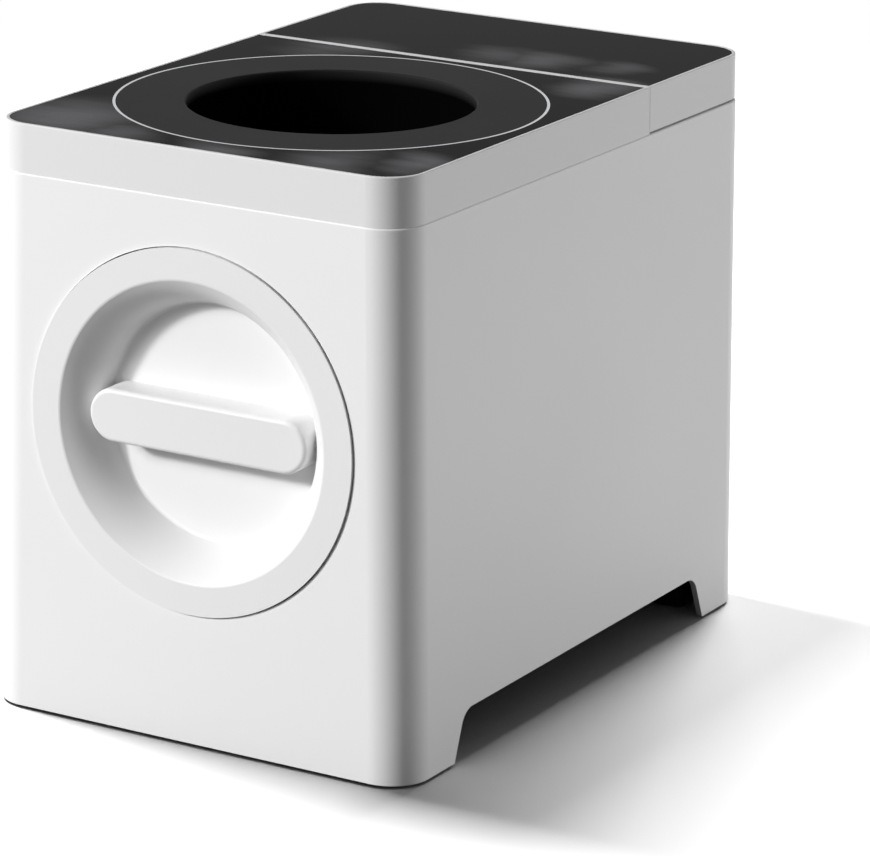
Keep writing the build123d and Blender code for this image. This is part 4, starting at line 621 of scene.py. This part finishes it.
def pan_head_screw(name, head_radius, head_height, shank_radius, shank_length):
    """A cross-recess screw along Z, with the underside of its head at the origin."""
    bpy.ops.object.select_all(action="DESELECT")
    bpy.ops.mesh.primitive_cylinder_add(
        vertices=40, radius=head_radius, depth=head_height, location=(0, 0, head_height / 2),
    )
    screw = bpy.context.object
    screw.name = name
    bpy.ops.object.transform_apply(location=True)
    start_edit("FACE")
    pick_faces(lambda face: face.normal.z > 0.9)
    bpy.ops.mesh.bevel(offset=head_height * dome_share, segments=4, profile=0.5)
    pick_faces(lambda face: face.normal.z < -0.9)
    bpy.ops.mesh.inset(thickness=head_radius - shank_radius)
    for share in (1 - tip_share, tip_share):
        bpy.ops.mesh.extrude_region_move(TRANSFORM_OT_translate={"value": (0, 0, -shank_length * share)})
    bpy.ops.transform.resize(value=(tip_narrowing, tip_narrowing, 1))
    bpy.ops.object.mode_set(mode="OBJECT")
    for x_share, y_share in ((cross_long, cross_wide), (cross_wide, cross_long)):
        bpy.ops.object.select_all(action="DESELECT")
        bpy.ops.mesh.primitive_cube_add(
            size=1, scale=(x_share * head_radius, y_share * head_radius, head_height * 1.2),
            location=(0, 0, head_height * 0.9),
        )
        blade = bpy.context.object
        bpy.ops.object.transform_apply(location=True, scale=True)
        start_edit("FACE")
        pick_faces(lambda face: face.normal.z < -0.9)
        bpy.ops.transform.resize(value=(cross_narrowing, cross_narrowing, 1))
        bpy.ops.object.mode_set(mode="OBJECT")
        cut_with(screw, blade)
    return screw


# %% [markdown]
# Each set is laid out in one go: the head's outer face meets the end of the island that it faces, and no two
# screws stop at the same turn, because a hand drove them. The copies of one set are joined into one piece.

# %% Setting the screws
turns = random.Random(7)


def set_screws(node, body, facing, head_radius, head_height, shank_radius):
    """Lays one kind of screw over the solids of a CAD node. facing is the way that the heads look."""
    axis = max(range(3), key=lambda index: abs(facing[index]))
    upright = Vector((0, 0, 1)).rotation_difference(Vector(facing)).to_matrix().to_4x4()
    places = islands(node)
    length = places[0][1][axis] - places[0][0][axis]
    screw = pan_head_screw(
        "cross_head_" + node, head_radius * mm, head_height * mm, shank_radius * mm, length - head_height * mm,
    )
    copies = []
    for low, high in places:
        seat = (low + high) / 2
        seat[axis] = high[axis] - head_height * mm if facing[axis] > 0 else low[axis] + head_height * mm
        twin = screw.copy()
        twin.data = screw.data.copy()
        bpy.context.scene.collection.objects.link(twin)
        turn = Matrix.Rotation(turns.uniform(0, pi / 2), 4, "Z")
        twin.data.transform(Matrix.Translation(seat) @ upright @ turn)
        copies.append(twin)
    bpy.data.objects.remove(screw)
    bpy.ops.object.select_all(action="DESELECT")
    for twin in copies:
        twin.select_set(True)
    bpy.context.view_layer.objects.active = copies[0]
    bpy.ops.object.join()
    joined = bpy.context.object
    joined.name = "cross_head_" + node
    bpy.ops.object.shade_smooth_by_angle(angle=radians(35))
    joined.data.materials.clear()
    joined.data.materials.append(turned_steel)
    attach(joined, body)
    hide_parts(node)
    print(joined.name, len(places), "screws,", len(joined.data.polygons), "faces")
    return joined


set_screws("base_screws", "housing", (0, 0, -1), head_radius=3.2, head_height=2.0, shank_radius=1.4)
set_screws("keeper_screws", "housing", (0, 1, 0), head_radius=3.2, head_height=2.0, shank_radius=1.4)
set_screws("plate_screws", "drawer", (0, -1, 0), head_radius=2.2, head_height=1.6, shank_radius=1.1)
set_screws("handle_screws", "dial", (0, 1, 0), head_radius=2.8, head_height=1.2, shank_radius=1.4)
set_screws("gearcase_screws", "housing", (0, 1, 0), head_radius=3.2, head_height=2.0, shank_radius=1.5)

# %% [markdown]
# ## Power inlet contacts
# The three blades of the inlet are stamped from brass, plated with nickel, and their tips are rounded so that the
# plug slides on. A plain bar gets that shape from a bevel round its front end.

# %% Contact blades
nickel_plate = marked_metal("nickel_plated_brass", "D3D0C6", "BDB9AD", 0.24, (1, 0.05, 1), 0.8, 0.005)
blade_size = (2.2 * mm, 16.6 * mm, 4.2 * mm)
blade_middle_y = 184.1 * mm
blades = []
for x, z in ((77, 66), (91, 66), (84, 69)):
    bpy.ops.object.select_all(action="DESELECT")
    bpy.ops.mesh.primitive_cube_add(size=1, scale=blade_size, location=(x * mm, blade_middle_y, z * mm))
    blade = bpy.context.object
    bpy.ops.object.transform_apply(location=True, scale=True)
    start_edit("FACE")
    pick_faces(lambda face: face.normal.y > 0.9)
    bpy.ops.mesh.bevel(offset=0.8 * mm, segments=4, profile=0.5)
    bpy.ops.object.mode_set(mode="OBJECT")
    blades.append(blade)
bpy.ops.object.select_all(action="DESELECT")
for blade in blades:
    blade.select_set(True)
bpy.context.view_layer.objects.active = blades[0]
bpy.ops.object.join()
contacts = bpy.context.object
contacts.name = "inlet_contact_blades"
bpy.ops.object.shade_smooth_by_angle(angle=radians(35))
contacts.data.materials.append(nickel_plate)
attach(contacts, "housing")
print(contacts.name, len(contacts.data.polygons), "faces")
